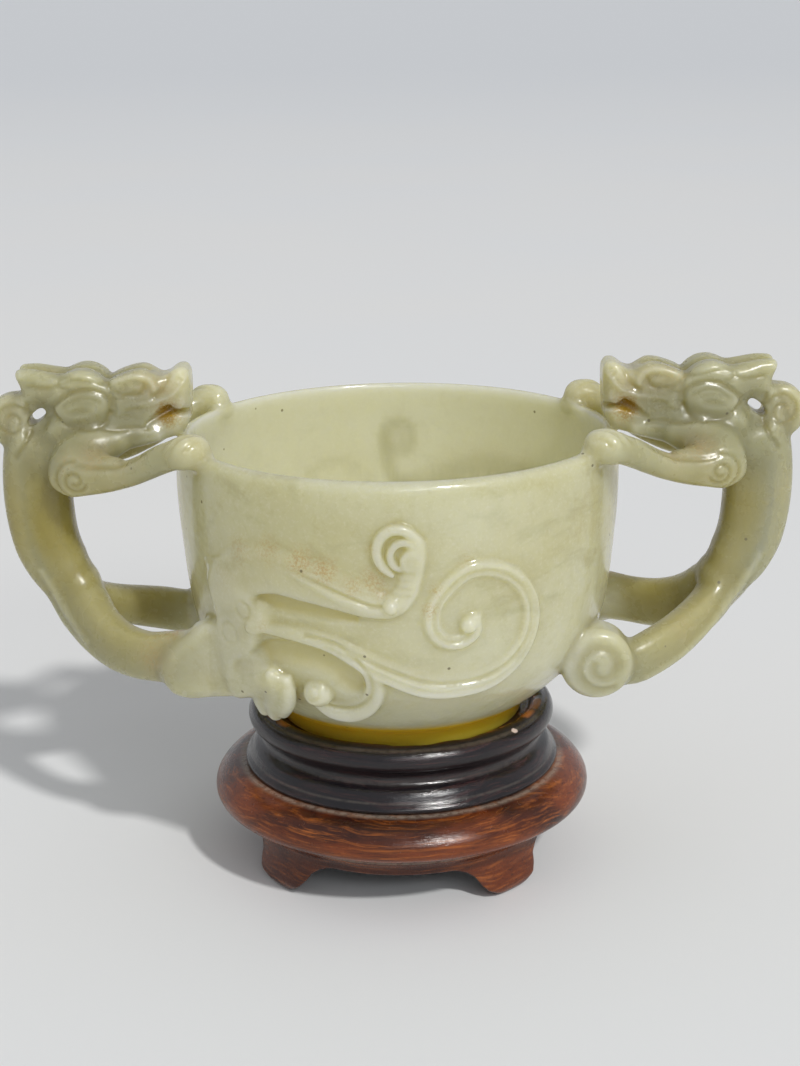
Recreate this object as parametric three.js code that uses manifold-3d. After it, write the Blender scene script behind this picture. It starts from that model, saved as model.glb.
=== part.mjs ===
// A jade cup with two dragon handles, standing in a turned and carved wooden stand. Millimetres, +Z up.
// The origin is on the table below the middle of the stand, and the handles lie along X.
// The ornament of the cup repeats after half a turn about Z: each dragon holds the rim with its front
// paws, and its body parts below into a strand that ends in a scroll and a strand that runs into the
// haunch, the hind legs and the tail carved on the wall.
import * as THREE from "three";
import { mergeVertices } from "three/addons/utils/BufferGeometryUtils.js";
import Module from "manifold-3d";

// The bowl of the cup.
const RIM_RADIUS = 36;
const CUP_HEIGHT = 48;
const WALL = 2.4;
const WALL_TAPER = 1.9;
const ROUNDING_HEIGHT = 18;
const FLOOR_THICKNESS = 4.5;
const FOOT_RADIUS = 20.5;
const FOOT_HEIGHT = 2;
const FOOT_RECESS_RADIUS = 16.5;
const FOOT_RECESS_DEPTH = 1.2;

// The dragons: reach beyond the rim, rise above it, and the thickness of the body.
const BODY_REACH = 23.2;
const BODY_HALF_WIDTH = 5.4;
const BODY_HALF_DEPTH = 4.6;
const HEAD_RISE = 10.9;
const HEAD_HALF_DEPTH = 6.6;
const CURL_RADIUS = 4.3;
const PAW_ANGLE = 33;
const RELIEF = 1.1;
const RELIEF_ROOT = 0.5;

// The stand, from the table up.
const ARCH_HEIGHT = 6.2;
const ARCH_WIDTH = 28;
const FOOT_RING_TOP = 7.4;
const FOOT_RING_WIDTH = 7.1;
const FOOT_RING_STEP = 1.1;
const FOOT_FLARE = 0.6;
const FOOT_TURN = -4.4;
const DRUM_HEIGHT = 9.9;
const DRUM_SWELL = 5.2;
const FLANGE_REACH = 3.1;
const FLANGE_HEIGHT = 3.9;
const NECK_COVE = 2.3;
const NECK_HEIGHT = 2.5;
const BEAD_WIDTH = 3;
const BEAD_HEIGHT = 4.4;
const RECESS_DEPTH = 2;
const RECESS_CLEARANCE = 1.4;
const RECESS_LIP = 1;
const SPIGOT_RADIUS = 15;
const SPIGOT_LENGTH = 3.5;
const SPIGOT_CLEARANCE = 0.3;

// Facets round each turned piece.
const ROUND_SEGMENTS = 36;

// Levels that follow from the sizes above.
const DRUM_TOP = FOOT_RING_TOP + DRUM_HEIGHT;
const NECK_LEVEL = DRUM_TOP + FLANGE_HEIGHT;
const BEAD_LEVEL = NECK_LEVEL + NECK_HEIGHT;
const SEAT_TOP = BEAD_LEVEL + BEAD_HEIGHT;
const CUP_LEVEL = SEAT_TOP - RECESS_DEPTH;
const RIM_LEVEL = CUP_LEVEL + CUP_HEIGHT;

// Radii of the stand, from the recess that holds the cup's foot outwards.
const RECESS_RADIUS = FOOT_RADIUS + RECESS_CLEARANCE;
const BEAD_RADIUS = RECESS_RADIUS + RECESS_LIP + BEAD_WIDTH;
const NECK_RADIUS = BEAD_RADIUS - NECK_COVE;
const FLANGE_RADIUS = NECK_RADIUS + FLANGE_REACH;
const DRUM_RADIUS = FLANGE_RADIUS + DRUM_SWELL;
const FOOT_RING_RADIUS = FLANGE_RADIUS - FOOT_RING_STEP;
const FOOT_RING_BORE = FOOT_RING_RADIUS - FOOT_RING_WIDTH;
const FOOT_TIP_RADIUS = FOOT_RING_RADIUS + FOOT_FLARE;

const wasm = await Module();
wasm.setup();

const jade = new THREE.MeshStandardMaterial({ color: 0xb9b489, roughness: 0.28, metalness: 0 });
const darkWood = new THREE.MeshStandardMaterial({ color: 0x2a1a16, roughness: 0.3, metalness: 0 });
const redWood = new THREE.MeshStandardMaterial({ color: 0x5b2a18, roughness: 0.32, metalness: 0 });

// A closed geometry as a solid that can be joined and cut.
function solidOf(geometry) {
  const bare = geometry.clone();
  bare.deleteAttribute("normal");
  bare.deleteAttribute("uv");
  const merged = mergeVertices(bare, 1e-4);
  return new wasm.Manifold(
    new wasm.Mesh({
      numProp: 3,
      vertProperties: merged.getAttribute("position").array,
      triVerts: new Uint32Array(merged.index.array),
    }),
  );
}

function geometryOf(solid) {
  const mesh = solid.getMesh();
  const geometry = new THREE.BufferGeometry();
  geometry.setAttribute("position", new THREE.BufferAttribute(mesh.vertProperties, 3));
  geometry.setIndex(new THREE.BufferAttribute(mesh.triVerts, 1));
  geometry.computeVertexNormals();
  return geometry;
}

function join(solids) {
  return solids.reduce((whole, next) => whole.add(next));
}

function namedMesh(name, solid, material) {
  const mesh = new THREE.Mesh(geometryOf(solid), material);
  mesh.name = name;
  return mesh;
}

// A turned solid from its outline, given as [radius, height] pairs from the axis round to the axis.
function turned(outline, segments) {
  const points = outline.map(([radius, height]) => new THREE.Vector2(radius, height));
  const geometry = new THREE.LatheGeometry(points, segments);
  geometry.rotateX(Math.PI / 2);
  return solidOf(geometry);
}

// Points of a quarter-like arc between two outline points that bulges by the given share.
function bulge([r0, z0], [r1, z1], share, steps) {
  const middle = new THREE.Vector2((r0 + r1) / 2 - (z1 - z0) * share, (z0 + z1) / 2 + (r1 - r0) * share);
  const curve = new THREE.QuadraticBezierCurve(new THREE.Vector2(r0, z0), middle, new THREE.Vector2(r1, z1));
  return curve.getPoints(steps).map((p) => [p.x, p.y]);
}

// The radius of the bowl's outside, at a height that is a share of the cup's height.
function wallRadius(share) {
  const height = share * CUP_HEIGHT;
  const shoulder = RIM_RADIUS - WALL_TAPER;
  if (height >= ROUNDING_HEIGHT) {
    const rise = (height - ROUNDING_HEIGHT) / (CUP_HEIGHT - ROUNDING_HEIGHT);
    return shoulder + WALL_TAPER * Math.sin((rise * Math.PI) / 2);
  }
  const fall = (ROUNDING_HEIGHT - height) / (ROUNDING_HEIGHT - FOOT_HEIGHT);
  const flat = FOOT_RADIUS - 1;
  return flat + (shoulder - flat) * Math.sqrt(Math.max(0, 1 - fall * fall));
}

// A place on the bowl's outside: degrees from +X, share of the cup's height, and height above the wall.
function onWall(degrees, share, proud = 0) {
  const angle = THREE.MathUtils.degToRad(degrees);
  const radius = wallRadius(share) + proud;
  const z = CUP_LEVEL + share * CUP_HEIGHT;
  return new THREE.Vector3(radius * Math.cos(angle), radius * Math.sin(angle), z);
}

// A place on the handle: reach beyond the rim, place across it, and share of the cup's height.
function onHandle(reach, across, share) {
  return new THREE.Vector3(RIM_RADIUS + reach, across, CUP_LEVEL + share * CUP_HEIGHT);
}

// A place on the head: reach beyond the rim, place across it, and rise above the rim.
function onHead(reach, across, rise) {
  return new THREE.Vector3(RIM_RADIUS + reach, across, RIM_LEVEL + rise);
}

// A value read from a list of stops spread evenly from 0 to 1.
function along(stops, t) {
  const place = t * (stops.length - 1);
  const index = Math.min(Math.floor(place), stops.length - 2);
  return THREE.MathUtils.lerp(stops[index], stops[index + 1], place - index);
}

// A closed body along a smooth curve. Its section is an oval: widths lie in the surface that the body
// follows, depths along facing, which gives the direction out of that surface at each point.
function strand({ points, widths, depths, facing, sides = 6, steps = 8 }) {
  const curve = new THREE.CatmullRomCurve3(points, false, "centripetal");
  const positions = [];
  for (let i = 0; i <= steps; i++) {
    const t = i / steps;
    const centre = curve.getPoint(t);
    const tangent = curve.getTangent(t);
    const across = new THREE.Vector3().crossVectors(tangent, facing(centre)).normalize();
    const out = new THREE.Vector3().crossVectors(across, tangent).normalize();
    for (let j = 0; j < sides; j++) {
      const turn = (j / sides) * 2 * Math.PI;
      const corner = centre.clone();
      corner.addScaledVector(across, Math.cos(turn) * along(widths, t));
      corner.addScaledVector(out, Math.sin(turn) * along(depths, t));
      positions.push(...corner.toArray());
    }
  }
  const first = positions.length / 3;
  positions.push(...curve.getPoint(0).toArray(), ...curve.getPoint(1).toArray());
  const index = [];
  for (let j = 0; j < sides; j++) {
    const next = (j + 1) % sides;
    for (let i = 0; i < steps; i++) {
      const low = i * sides;
      const high = low + sides;
      index.push(low + j, low + next, high + next, low + j, high + next, high + j);
    }
    index.push(first, next, j);
    index.push(first + 1, steps * sides + j, steps * sides + next);
  }
  const geometry = new THREE.BufferGeometry();
  geometry.setAttribute("position", new THREE.Float32BufferAttribute(positions, 3));
  geometry.setIndex(index);
  const solid = solidOf(geometry);
  if (solid.volume() > 0) return solid;
  geometry.setIndex(index.reverse());
  return solidOf(geometry);
}

// An oval lump with its half sizes.
function lump(centre, halves, segments = 8) {
  const geometry = new THREE.SphereGeometry(1, segments, Math.round(segments * 0.7));
  geometry.scale(...halves);
  geometry.translate(centre.x, centre.y, centre.z);
  return solidOf(geometry);
}

// A round boss with its axis across the handle.
function boss(centre, radius, halfDepth, segments = 12) {
  const geometry = new THREE.CylinderGeometry(radius, radius, 2 * halfDepth, segments);
  geometry.translate(centre.x, centre.y, centre.z);
  return solidOf(geometry);
}

const sideways = () => new THREE.Vector3(0, 1, 0);
const outward = (point) => new THREE.Vector3(point.x, point.y, 0);

// The bowl: lip, wall, rounded lower body and foot, hollow inside and recessed below.
function bowl() {
  const outside = [];
  const steps = 10;
  for (let i = 0; i <= steps; i++) {
    const share = FOOT_HEIGHT / CUP_HEIGHT + (i / steps) ** 1.35 * (1 - FOOT_HEIGHT / CUP_HEIGHT);
    outside.push([wallRadius(share), CUP_LEVEL + share * CUP_HEIGHT]);
  }
  const lip = WALL / 2;
  outside[outside.length - 1] = [RIM_RADIUS, RIM_LEVEL - lip];
  const floor = CUP_LEVEL + FLOOR_THICKNESS;
  const inside = outside
    .filter((_, index) => index > 2 && (index % 2 === 0 || index < 6))
    .reverse()
    .map(([radius, height]) => [radius - WALL, Math.max(height, floor + WALL / 2)]);
  const flatInside = inside[inside.length - 1][0] - WALL;
  return turned(
    [
      [0, CUP_LEVEL + FOOT_RECESS_DEPTH],
      [FOOT_RECESS_RADIUS, CUP_LEVEL + FOOT_RECESS_DEPTH],
      [FOOT_RECESS_RADIUS, CUP_LEVEL],
      [FOOT_RADIUS, CUP_LEVEL],
      ...outside,
      [RIM_RADIUS - lip / 2, RIM_LEVEL],
      [RIM_RADIUS - WALL + lip / 2, RIM_LEVEL],
      ...inside,
      [flatInside, floor],
      [0, floor],
    ],
    ROUND_SEGMENTS,
  );
}

// The neck and body from behind the head down to where it parts.
function body() {
  return strand({
    points: [
      onHandle(19, 0, 1.08),
      onHandle(BODY_REACH - 1.2, 0, 0.93),
      onHandle(BODY_REACH, 0, 0.76),
      onHandle(BODY_REACH - 0.6, 0, 0.63),
      onHandle(BODY_REACH - 4, 0, 0.51),
      onHandle(BODY_REACH - 8.6, 0, 0.42),
    ],
    widths: [4.4, BODY_HALF_WIDTH, BODY_HALF_WIDTH, BODY_HALF_WIDTH, 5, 4.4],
    depths: [5.2, BODY_HALF_DEPTH, BODY_HALF_DEPTH, BODY_HALF_DEPTH, 5.2, 6.4],
    facing: sideways,
    sides: 10,
    steps: 12,
  });
}

// The strand that turns in to the wall and ends in a rolled scroll.
function scrollStrand() {
  const centre = onWall(-28.5, 0.25, 5.2);
  const band = strand({
    points: [
      onHandle(BODY_REACH - 5, -2, 0.5),
      onHandle(12.5, -7.5, 0.4),
      onHandle(6.5, -11.5, 0.31),
      onHandle(1.5, -14, 0.23),
      centre.clone().add(new THREE.Vector3(0, 0, -2)),
    ],
    widths: [4.4, 4.4, 4.3, 4.2, 4],
    depths: [3.6, 3.6, 3.4, 3.4, 3.4],
    facing: sideways,
    sides: 8,
    steps: 9,
  });
  const roll = boss(centre, 6.3, 3.6, 18);
  const eye = boss(centre, 2, 4.4, 8);
  return join([band, roll, eye]);
}

// The strand that swells into the haunch on the wall.
function haunchStrand() {
  const band = strand({
    points: [
      onHandle(BODY_REACH - 5, 2, 0.5),
      onHandle(12, 8, 0.37),
      onHandle(6, 12.5, 0.31),
      onHandle(0.5, 15.5, 0.29),
      onWall(36, 0.33, 0.5),
    ],
    widths: [4.4, 4.6, 4.8, 5.8, 6.5],
    depths: [3.6, 3.6, 3.8, 3.8, 2.5],
    facing: sideways,
    sides: 8,
    steps: 9,
  });
  const haunch = strand({
    points: [onHandle(0.5, 14.8, 0.26), onWall(34, 0.3, 1.4), onWall(46, 0.4, 0.3), onWall(58, 0.5, 0)],
    widths: [4.5, 7.2, 7, 3.5],
    depths: [3, 3.6, 2, RELIEF],
    facing: outward,
    sides: 8,
    steps: 6,
  });
  return join([band, haunch]);
}

// A raised band on the wall through [degrees, share] places.
function reliefBand(places, widths, proud = RELIEF, steps = 10) {
  return strand({
    points: places.map(([degrees, share]) => onWall(degrees, share, -RELIEF_ROOT)),
    widths,
    depths: widths.map(() => proud + RELIEF_ROOT),
    facing: outward,
    sides: 4,
    steps,
  });
}

// The lifted hind leg, bent at the heel, with three rolled claws.
function liftedLeg() {
  const thigh = reliefBand([[40, 0.5], [58, 0.63], [72, 0.63], [83, 0.59], [90, 0.6]], [3.5, 3.2, 1.9, 1.7, 1.8]);
  const shin = reliefBand([[88, 0.585], [91.5, 0.64], [90.5, 0.72]], [2, 2.2, 2.4], RELIEF * 1.3, 4);
  const claws = [86.5, 90.5, 94.5].map((degrees) =>
    reliefBand([[90.5, 0.7], [degrees, 0.79], [degrees - 0.6, 0.845]], [1.4, 1.4, 1.2], RELIEF * 1.5, 3),
  );
  return join([thigh, shin, ...claws]);
}

// The lower hind foot, whose claws reach below the rounding of the bowl.
function standingFoot() {
  const leg = strand({
    points: [onWall(36, 0.22, 0.5), onWall(46, 0.26, 0.5), onWall(53, 0.27, 0.6)],
    widths: [3.4, 2.8, 2.6],
    depths: [2.6, 2.4, 2.2],
    facing: outward,
    steps: 3,
  });
  const claws = [47, 51.5, 56].map((degrees) =>
    strand({
      points: [onWall(degrees - 2, 0.29, 0.2), onWall(degrees, 0.2, 0.9), onWall(degrees - 0.5, 0.135, 2.2)],
      widths: [1.5, 1.6, 1.2],
      depths: [1.6, 1.7, 1.3],
      facing: outward,
      sides: 5,
      steps: 2,
    }),
  );
  return join([leg, ...claws]);
}

// The tail: a long band that sinks along the wall and rises into a spiral, with a small branch.
function tail() {
  const run = [[44, 0.46], [62, 0.49], [74, 0.46], [84, 0.4], [95, 0.34], [107, 0.31], [117, 0.345]];
  const spiralCentre = { degrees: 108.5, share: 0.5 };
  const turns = 1.35;
  const spiral = [];
  for (let i = 0; i <= 12; i++) {
    const part = i / 12;
    const turn = THREE.MathUtils.degToRad(-42 + part * turns * 360);
    const size = THREE.MathUtils.lerp(1, 0.24, part);
    spiral.push([
      spiralCentre.degrees + 16.5 * size * Math.cos(turn),
      spiralCentre.share + 0.215 * size * Math.sin(turn),
    ]);
  }
  const band = reliefBand([...run, ...spiral], [2.4, 2.3, 2.4, 2.4, 2.2, 1.8, 1.3, 1.1, 1], RELIEF, 30);
  const eye = lump(onWall(106.8, 0.525), [1.7, 1.4, 1.7]);
  const branch = reliefBand(
    [[70, 0.45], [79, 0.4], [82.5, 0.32], [80, 0.22], [71, 0.17], [64, 0.21], [64.5, 0.29]],
    [1.3, 1.6, 1.9, 2, 1.8, 1.5, 1.6],
    RELIEF * 1.1,
    10,
  );
  return join([band, eye, branch]);
}

// A front leg from its rolled elbow to the paw that lies on the rim. Side is 1 or -1.
function frontLeg(side) {
  const facing = () => new THREE.Vector3(0, side, 0);
  const paw = onWall(side * PAW_ANGLE, 1, 0);
  const upper = strand({
    points: [
      onHead(16.5, side * 8, -4.6),
      onHead(9.5, side * 11.5, -3.8),
      onHead(2.5, side * 16, -1.2),
      paw.clone().add(new THREE.Vector3(0.4, 0, 1.2)),
    ],
    widths: [2.6, 3.1, 3, 2.6],
    depths: [1.8, 2.4, 2.6, 2.8],
    facing,
    sides: 8,
    steps: 7,
  });
  const foot = lump(paw.clone().add(new THREE.Vector3(-0.6, 0, 1.6)), [2.6, 3, 2.6]);
  const elbow = boss(onHead(18, side * 7, -5.2), 2.9, 2.4);
  return join([upper, foot, elbow]);
}

// The chest that joins the front legs below the head.
function chest() {
  return strand({
    points: [onHead(22, 0, -6), onHead(14, 0, -3), onHead(6, 0, -0.5)],
    widths: [5, 4.5, 2.8],
    depths: [6, 8, 7],
    facing: sideways,
    sides: 8,
    steps: 4,
  });
}

// The head: open mouth, turned-up nose, brow, mane with a horn, ears and a rolled curl behind.
function head() {
  const depth = HEAD_HALF_DEPTH;
  const top = HEAD_RISE;
  const skull = strand({
    points: [onHead(20, 0, 4), onHead(13, 0, 5), onHead(7, 0, 6), onHead(1, 0, 7)],
    widths: [4.6, 4.6, 4, 2.9],
    depths: [depth - 1, depth, depth - 1.4, depth - 2.6],
    facing: sideways,
    sides: 10,
    steps: 6,
  });
  const nose = strand({
    points: [onHead(3.5, 0, 6.5), onHead(-0.6, 0, 8), onHead(-1.4, 0, top - 0.8)],
    widths: [2.6, 2, 1.1],
    depths: [4, 3.8, 2.8],
    facing: sideways,
    sides: 8,
    steps: 4,
  });
  const brow = lump(onHead(5, 0, top - 3.2), [4.4, 4.6, 2.9]);
  const jaw = strand({
    points: [onHead(14, 0, 1.5), onHead(6, 0, 1), onHead(-0.6, 0, 2.4)],
    widths: [3.4, 2.4, 1.5],
    depths: [depth - 1, depth - 2, depth - 3.4],
    facing: sideways,
    sides: 8,
    steps: 4,
  });
  const mane = strand({
    points: [onHead(11.5, 0, 7.4), onHead(15, 0, top - 2.6), onHead(19.6, 0, top - 3.4), onHead(24.4, 0, top - 1.5)],
    widths: [2.4, 2.5, 2.4, 1.2],
    depths: [5, 5.2, 4, 2],
    facing: sideways,
    sides: 8,
    steps: 6,
  });
  const ears = [-1, 1].map((side) => lump(onHead(14, side * (depth - 0.4), 5.4), [5, 1.9, 2.9]));
  const curl = boss(onHead(26.4, 0, 2.5), CURL_RADIUS, 3.4, 16);
  const tuft = strand({
    points: [onHead(20, 0, 7), onHead(23.6, 0, 7), onHead(26.5, 0, 4.5)],
    widths: [2.6, 2.6, 2.4],
    depths: [3.4, 3.2, 3],
    facing: sideways,
    steps: 4,
  });
  const root = strand({
    points: [onHead(26.5, 0, 1), onHead(23.8, 0, -2.5), onHead(22.5, 0, -6)],
    widths: [2.4, 2.6, 3],
    depths: [2.8, 3.4, 4],
    facing: sideways,
    steps: 4,
  });
  return join([skull, nose, brow, jaw, mane, ...ears, curl, tuft, root]);
}

// One dragon, on the +X side, with its relief on the wall beyond it.
function dragon() {
  const relief = join([haunchStrand(), liftedLeg(), standingFoot(), tail()]);
  return join([head(), chest(), frontLeg(1), frontLeg(-1), body(), scrollStrand(), relief]);
}

// A plug that reaches to the middle of the wall and past the rim. It keeps the ornament outside.
function plug() {
  const floor = CUP_LEVEL + FLOOR_THICKNESS / 2;
  const outline = [[0, floor]];
  for (const share of [0.12, 0.2, 0.35, 0.6, 1]) {
    outline.push([wallRadius(share) - WALL / 2, CUP_LEVEL + share * CUP_HEIGHT]);
  }
  outline.push([0, RIM_LEVEL]);
  return turned(outline, ROUND_SEGMENTS);
}

function jadeCup() {
  const one = dragon().subtract(plug());
  const other = one.rotate([0, 0, 180]);
  return namedMesh("jade_cup", join([bowl(), one, other]), jade);
}

// The seat: a beaded ring with the recess for the cup's foot, above a neck and a flange.
function standSeat() {
  const edge = RECESS_RADIUS + RECESS_LIP;
  const outline = [
    [0, CUP_LEVEL],
    [RECESS_RADIUS, CUP_LEVEL],
    [RECESS_RADIUS, CUP_LEVEL + 0.3],
    [edge, SEAT_TOP],
    ...bulge([edge + 0.6, SEAT_TOP - 0.1], [BEAD_RADIUS, BEAD_LEVEL + 1], 0.25, 4),
    ...bulge([BEAD_RADIUS - 0.1, BEAD_LEVEL + 0.5], [NECK_RADIUS, BEAD_LEVEL - 0.4], 0.2, 2),
    [NECK_RADIUS - 0.1, NECK_LEVEL + NECK_HEIGHT * 0.35],
    ...bulge([NECK_RADIUS + 0.4, NECK_LEVEL], [FLANGE_RADIUS, DRUM_TOP + 0.9], 0.18, 3),
    [FLANGE_RADIUS - 0.3, DRUM_TOP],
    [SPIGOT_RADIUS, DRUM_TOP],
    [SPIGOT_RADIUS, DRUM_TOP - SPIGOT_LENGTH],
    [0, DRUM_TOP - SPIGOT_LENGTH],
  ];
  return namedMesh("stand_seat", turned(outline.reverse(), ROUND_SEGMENTS), darkWood);
}

// The swelling drum, with a socket above for the seat's spigot and a spigot below for the foot ring.
function standDrum() {
  const shoulder = FLANGE_RADIUS + 0.7;
  const socketFloor = DRUM_TOP - SPIGOT_LENGTH - SPIGOT_CLEARANCE;
  const lowSpigot = FOOT_RING_BORE - SPIGOT_CLEARANCE;
  const outline = [
    [0, socketFloor],
    [SPIGOT_RADIUS + SPIGOT_CLEARANCE, socketFloor],
    [SPIGOT_RADIUS + SPIGOT_CLEARANCE, DRUM_TOP],
    ...bulge([shoulder, DRUM_TOP], [DRUM_RADIUS, FOOT_RING_TOP + DRUM_HEIGHT * 0.55], 0.32, 5),
    ...bulge([DRUM_RADIUS, FOOT_RING_TOP + DRUM_HEIGHT * 0.5], [FOOT_RING_RADIUS + 0.4, FOOT_RING_TOP], 0.3, 5),
    [lowSpigot, FOOT_RING_TOP],
    [lowSpigot, FOOT_RING_TOP - 1],
    [0, FOOT_RING_TOP - 1],
  ];
  return namedMesh("stand_drum", turned(outline.reverse(), ROUND_SEGMENTS), redWood);
}

// The outline of the arch between two feet: a flat crown and cusped corners that flare to the feet.
function arch() {
  const half = ARCH_WIDTH / 2;
  const shape = new THREE.Shape();
  shape.moveTo(-half, -1);
  shape.lineTo(-half, 0);
  shape.quadraticCurveTo(-half + 2.6, ARCH_HEIGHT * 0.3, -half + 2.4, ARCH_HEIGHT * 0.55);
  shape.quadraticCurveTo(-half + 2.6, ARCH_HEIGHT, -half + 6, ARCH_HEIGHT);
  shape.lineTo(half - 6, ARCH_HEIGHT);
  shape.quadraticCurveTo(half - 2.6, ARCH_HEIGHT, half - 2.4, ARCH_HEIGHT * 0.55);
  shape.quadraticCurveTo(half - 2.6, ARCH_HEIGHT * 0.3, half, 0);
  shape.lineTo(half, -1);
  shape.closePath();
  return shape;
}

// The ring below the drum, sawn through both ways so that four bracket feet are left.
function standFootRing() {
  const ring = turned(
    [
      [FOOT_RING_BORE, 0],
      [FOOT_TIP_RADIUS - 0.8, 0],
      ...bulge([FOOT_TIP_RADIUS, 0.8], [FOOT_RING_RADIUS, FOOT_RING_TOP - 1], 0.3, 5),
      [FOOT_RING_RADIUS, FOOT_RING_TOP],
      [FOOT_RING_BORE, FOOT_RING_TOP],
      [FOOT_RING_BORE, 0],
    ],
    ROUND_SEGMENTS,
  );
  const length = 2 * FOOT_TIP_RADIUS + 4;
  const cuts = [0, 90].map((degrees) => {
    const geometry = new THREE.ExtrudeGeometry(arch(), { depth: length, bevelEnabled: false, curveSegments: 4 });
    geometry.translate(0, 0, -length / 2);
    geometry.rotateX(Math.PI / 2);
    geometry.rotateZ(THREE.MathUtils.degToRad(degrees));
    return solidOf(geometry);
  });
  const mesh = namedMesh("stand_foot_ring", ring.subtract(join(cuts)), redWood);
  mesh.rotation.z = THREE.MathUtils.degToRad(FOOT_TURN);
  return mesh;
}

const stand = new THREE.Group();
stand.add(standFootRing(), standDrum(), standSeat());

const cup = new THREE.Group();
cup.add(jadeCup());

const jadeCupOnStand = new THREE.Group();
jadeCupOnStand.add(stand, cup);

export default jadeCupOnStand;
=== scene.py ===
# The looks of a jade cup with two dragon handles on a turned hardwood stand.
import math

import bpy
import mathutils
import numpy as np
import openvdb
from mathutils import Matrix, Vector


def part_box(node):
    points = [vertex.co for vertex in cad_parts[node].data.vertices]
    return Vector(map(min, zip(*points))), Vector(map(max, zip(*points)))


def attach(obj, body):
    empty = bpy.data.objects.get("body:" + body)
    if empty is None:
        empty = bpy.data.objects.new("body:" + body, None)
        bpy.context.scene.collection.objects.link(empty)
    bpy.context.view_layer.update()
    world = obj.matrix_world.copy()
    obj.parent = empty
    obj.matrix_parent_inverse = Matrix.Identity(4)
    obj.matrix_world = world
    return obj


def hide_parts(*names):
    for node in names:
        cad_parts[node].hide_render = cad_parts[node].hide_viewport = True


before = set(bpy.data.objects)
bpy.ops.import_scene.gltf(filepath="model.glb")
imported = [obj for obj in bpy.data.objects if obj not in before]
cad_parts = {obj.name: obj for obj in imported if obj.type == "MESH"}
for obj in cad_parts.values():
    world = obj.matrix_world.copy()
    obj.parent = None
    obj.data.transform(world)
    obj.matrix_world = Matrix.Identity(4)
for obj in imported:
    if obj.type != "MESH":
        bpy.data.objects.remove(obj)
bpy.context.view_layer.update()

MM = 0.001
DEGREES_IN_A_RADIAN = 57.3
SIDE = np.array([0.0, 1.0, 0.0])
UP = np.array([0.0, 0.0, 1.0])

# The cup is sculpted in millimetres, with heights measured from the rim: the rim is 0, the foot is below.
cup_low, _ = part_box("jade_cup")
FOOT_LEVEL = cup_low[2] / MM
CUP_HEIGHT = 48.0
RIM_LEVEL = FOOT_LEVEL + CUP_HEIGHT
RIM_RADIUS = 36.0
WALL = 2.4
FLOOR_THICKNESS = 4.5

# The bowl's outer radius at depths below the rim, down to the foot ring.
WALL_DEPTHS = (0, 6, 12, 18, 24, 30, 34, 37, 40, 43, 45.2)
WALL_RADII = (35.7, 36.05, 35.9, 35.4, 34.8, 33.7, 32.1, 30.1, 27.3, 23.9, 20.6)
FOOT_RADIUS = 20.4
FOOT_BORE = 17.0
FOOT_RECESS = 1.3


def fade(value, start, end):
    """0 where value is at start, 1 where it is at end, and even between."""
    return np.clip((value - start) / (end - start), 0, 1)


def smooth_curve(knots, values, places):
    """A smooth line through values at knots, read at places; it bends like a sprung strip."""
    knots = np.asarray(knots, float)
    values = np.asarray(values, float)
    if values.ndim == 1:
        return smooth_curve(knots, values[:, None], places)[:, 0]
    slopes = np.gradient(values, knots, axis=0)
    index = np.clip(np.searchsorted(knots, places, side="right") - 1, 0, len(knots) - 2)
    width = (knots[index + 1] - knots[index])[:, None]
    t = ((places - knots[index])[:, None]) / width
    start = (1 + 2 * t) * (1 - t) ** 2 * values[index] + t * (1 - t) ** 2 * width * slopes[index]
    end = t**2 * (3 - 2 * t) * values[index + 1] + t**2 * (t - 1) * width * slopes[index + 1]
    return start + end


def wall_radius(height):
    """The bowl's outer radius at a height below the rim (a negative number)."""
    depth = np.clip(-np.atleast_1d(np.asarray(height, float)), WALL_DEPTHS[0], WALL_DEPTHS[-1])
    return smooth_curve(WALL_DEPTHS, WALL_RADII, depth)


def on_wall(degrees, height, proud=0.0):
    """A point on the bowl's outside, lifted off it by proud. 0 degrees is +X, 90 degrees is +Y."""
    angle = math.radians(degrees)
    radius = float(wall_radius(height)[0]) + proud
    return (radius * math.cos(angle), radius * math.sin(angle), height)


# The sculpting grid. It is symmetric about the cup's axis, so half a turn is a reversal of X and Y.
STEP = 0.3
HALF_X = 68.0
HALF_Y = 39.5
LOW_Z = -CUP_HEIGHT - 1.5
HIGH_Z = 12.5
COUNT_X = 2 * int(HALF_X / STEP) + 1
COUNT_Y = 2 * int(HALF_Y / STEP) + 1
COUNT_Z = int((HIGH_Z - LOW_Z) / STEP) + 1
AXIS_X = ((np.arange(COUNT_X) - (COUNT_X - 1) / 2) * STEP).astype(np.float32)
AXIS_Y = ((np.arange(COUNT_Y) - (COUNT_Y - 1) / 2) * STEP).astype(np.float32)
AXIS_Z = (LOW_Z + np.arange(COUNT_Z) * STEP).astype(np.float32)
GRID_ORIGIN = np.array([AXIS_X[0], AXIS_Y[0], AXIS_Z[0]], float)
# The field is cut off at this distance, and every shape reaches a little past its own size.
FAR = 6.0
MARGIN = 1.2


def region(low, high):
    """Slices of the grid that cover a box, and the coordinates in it, ready to broadcast."""
    slices = []
    for axis, a, b in zip((AXIS_X, AXIS_Y, AXIS_Z), low, high):
        start = int(np.clip(np.searchsorted(axis, a), 0, len(axis) - 1))
        stop = int(np.clip(np.searchsorted(axis, b, side="right"), start + 1, len(axis)))
        slices.append(slice(start, stop))
    sx, sy, sz = slices
    return (sx, sy, sz), AXIS_X[sx][:, None, None], AXIS_Y[sy][None, :, None], AXIS_Z[sz][None, None, :]


def smooth_min(a, b, blend):
    """The smaller of two distances, rounded where they meet."""
    mix = np.clip(0.5 + 0.5 * (b - a) / blend, 0, 1)
    return b + (a - b) * mix - blend * mix * (1 - mix)


def add(field, slices, distance, blend):
    """Joins a shape to the stone with a fillet of about the size of blend."""
    field[slices] = smooth_min(field[slices], distance, blend)


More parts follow.
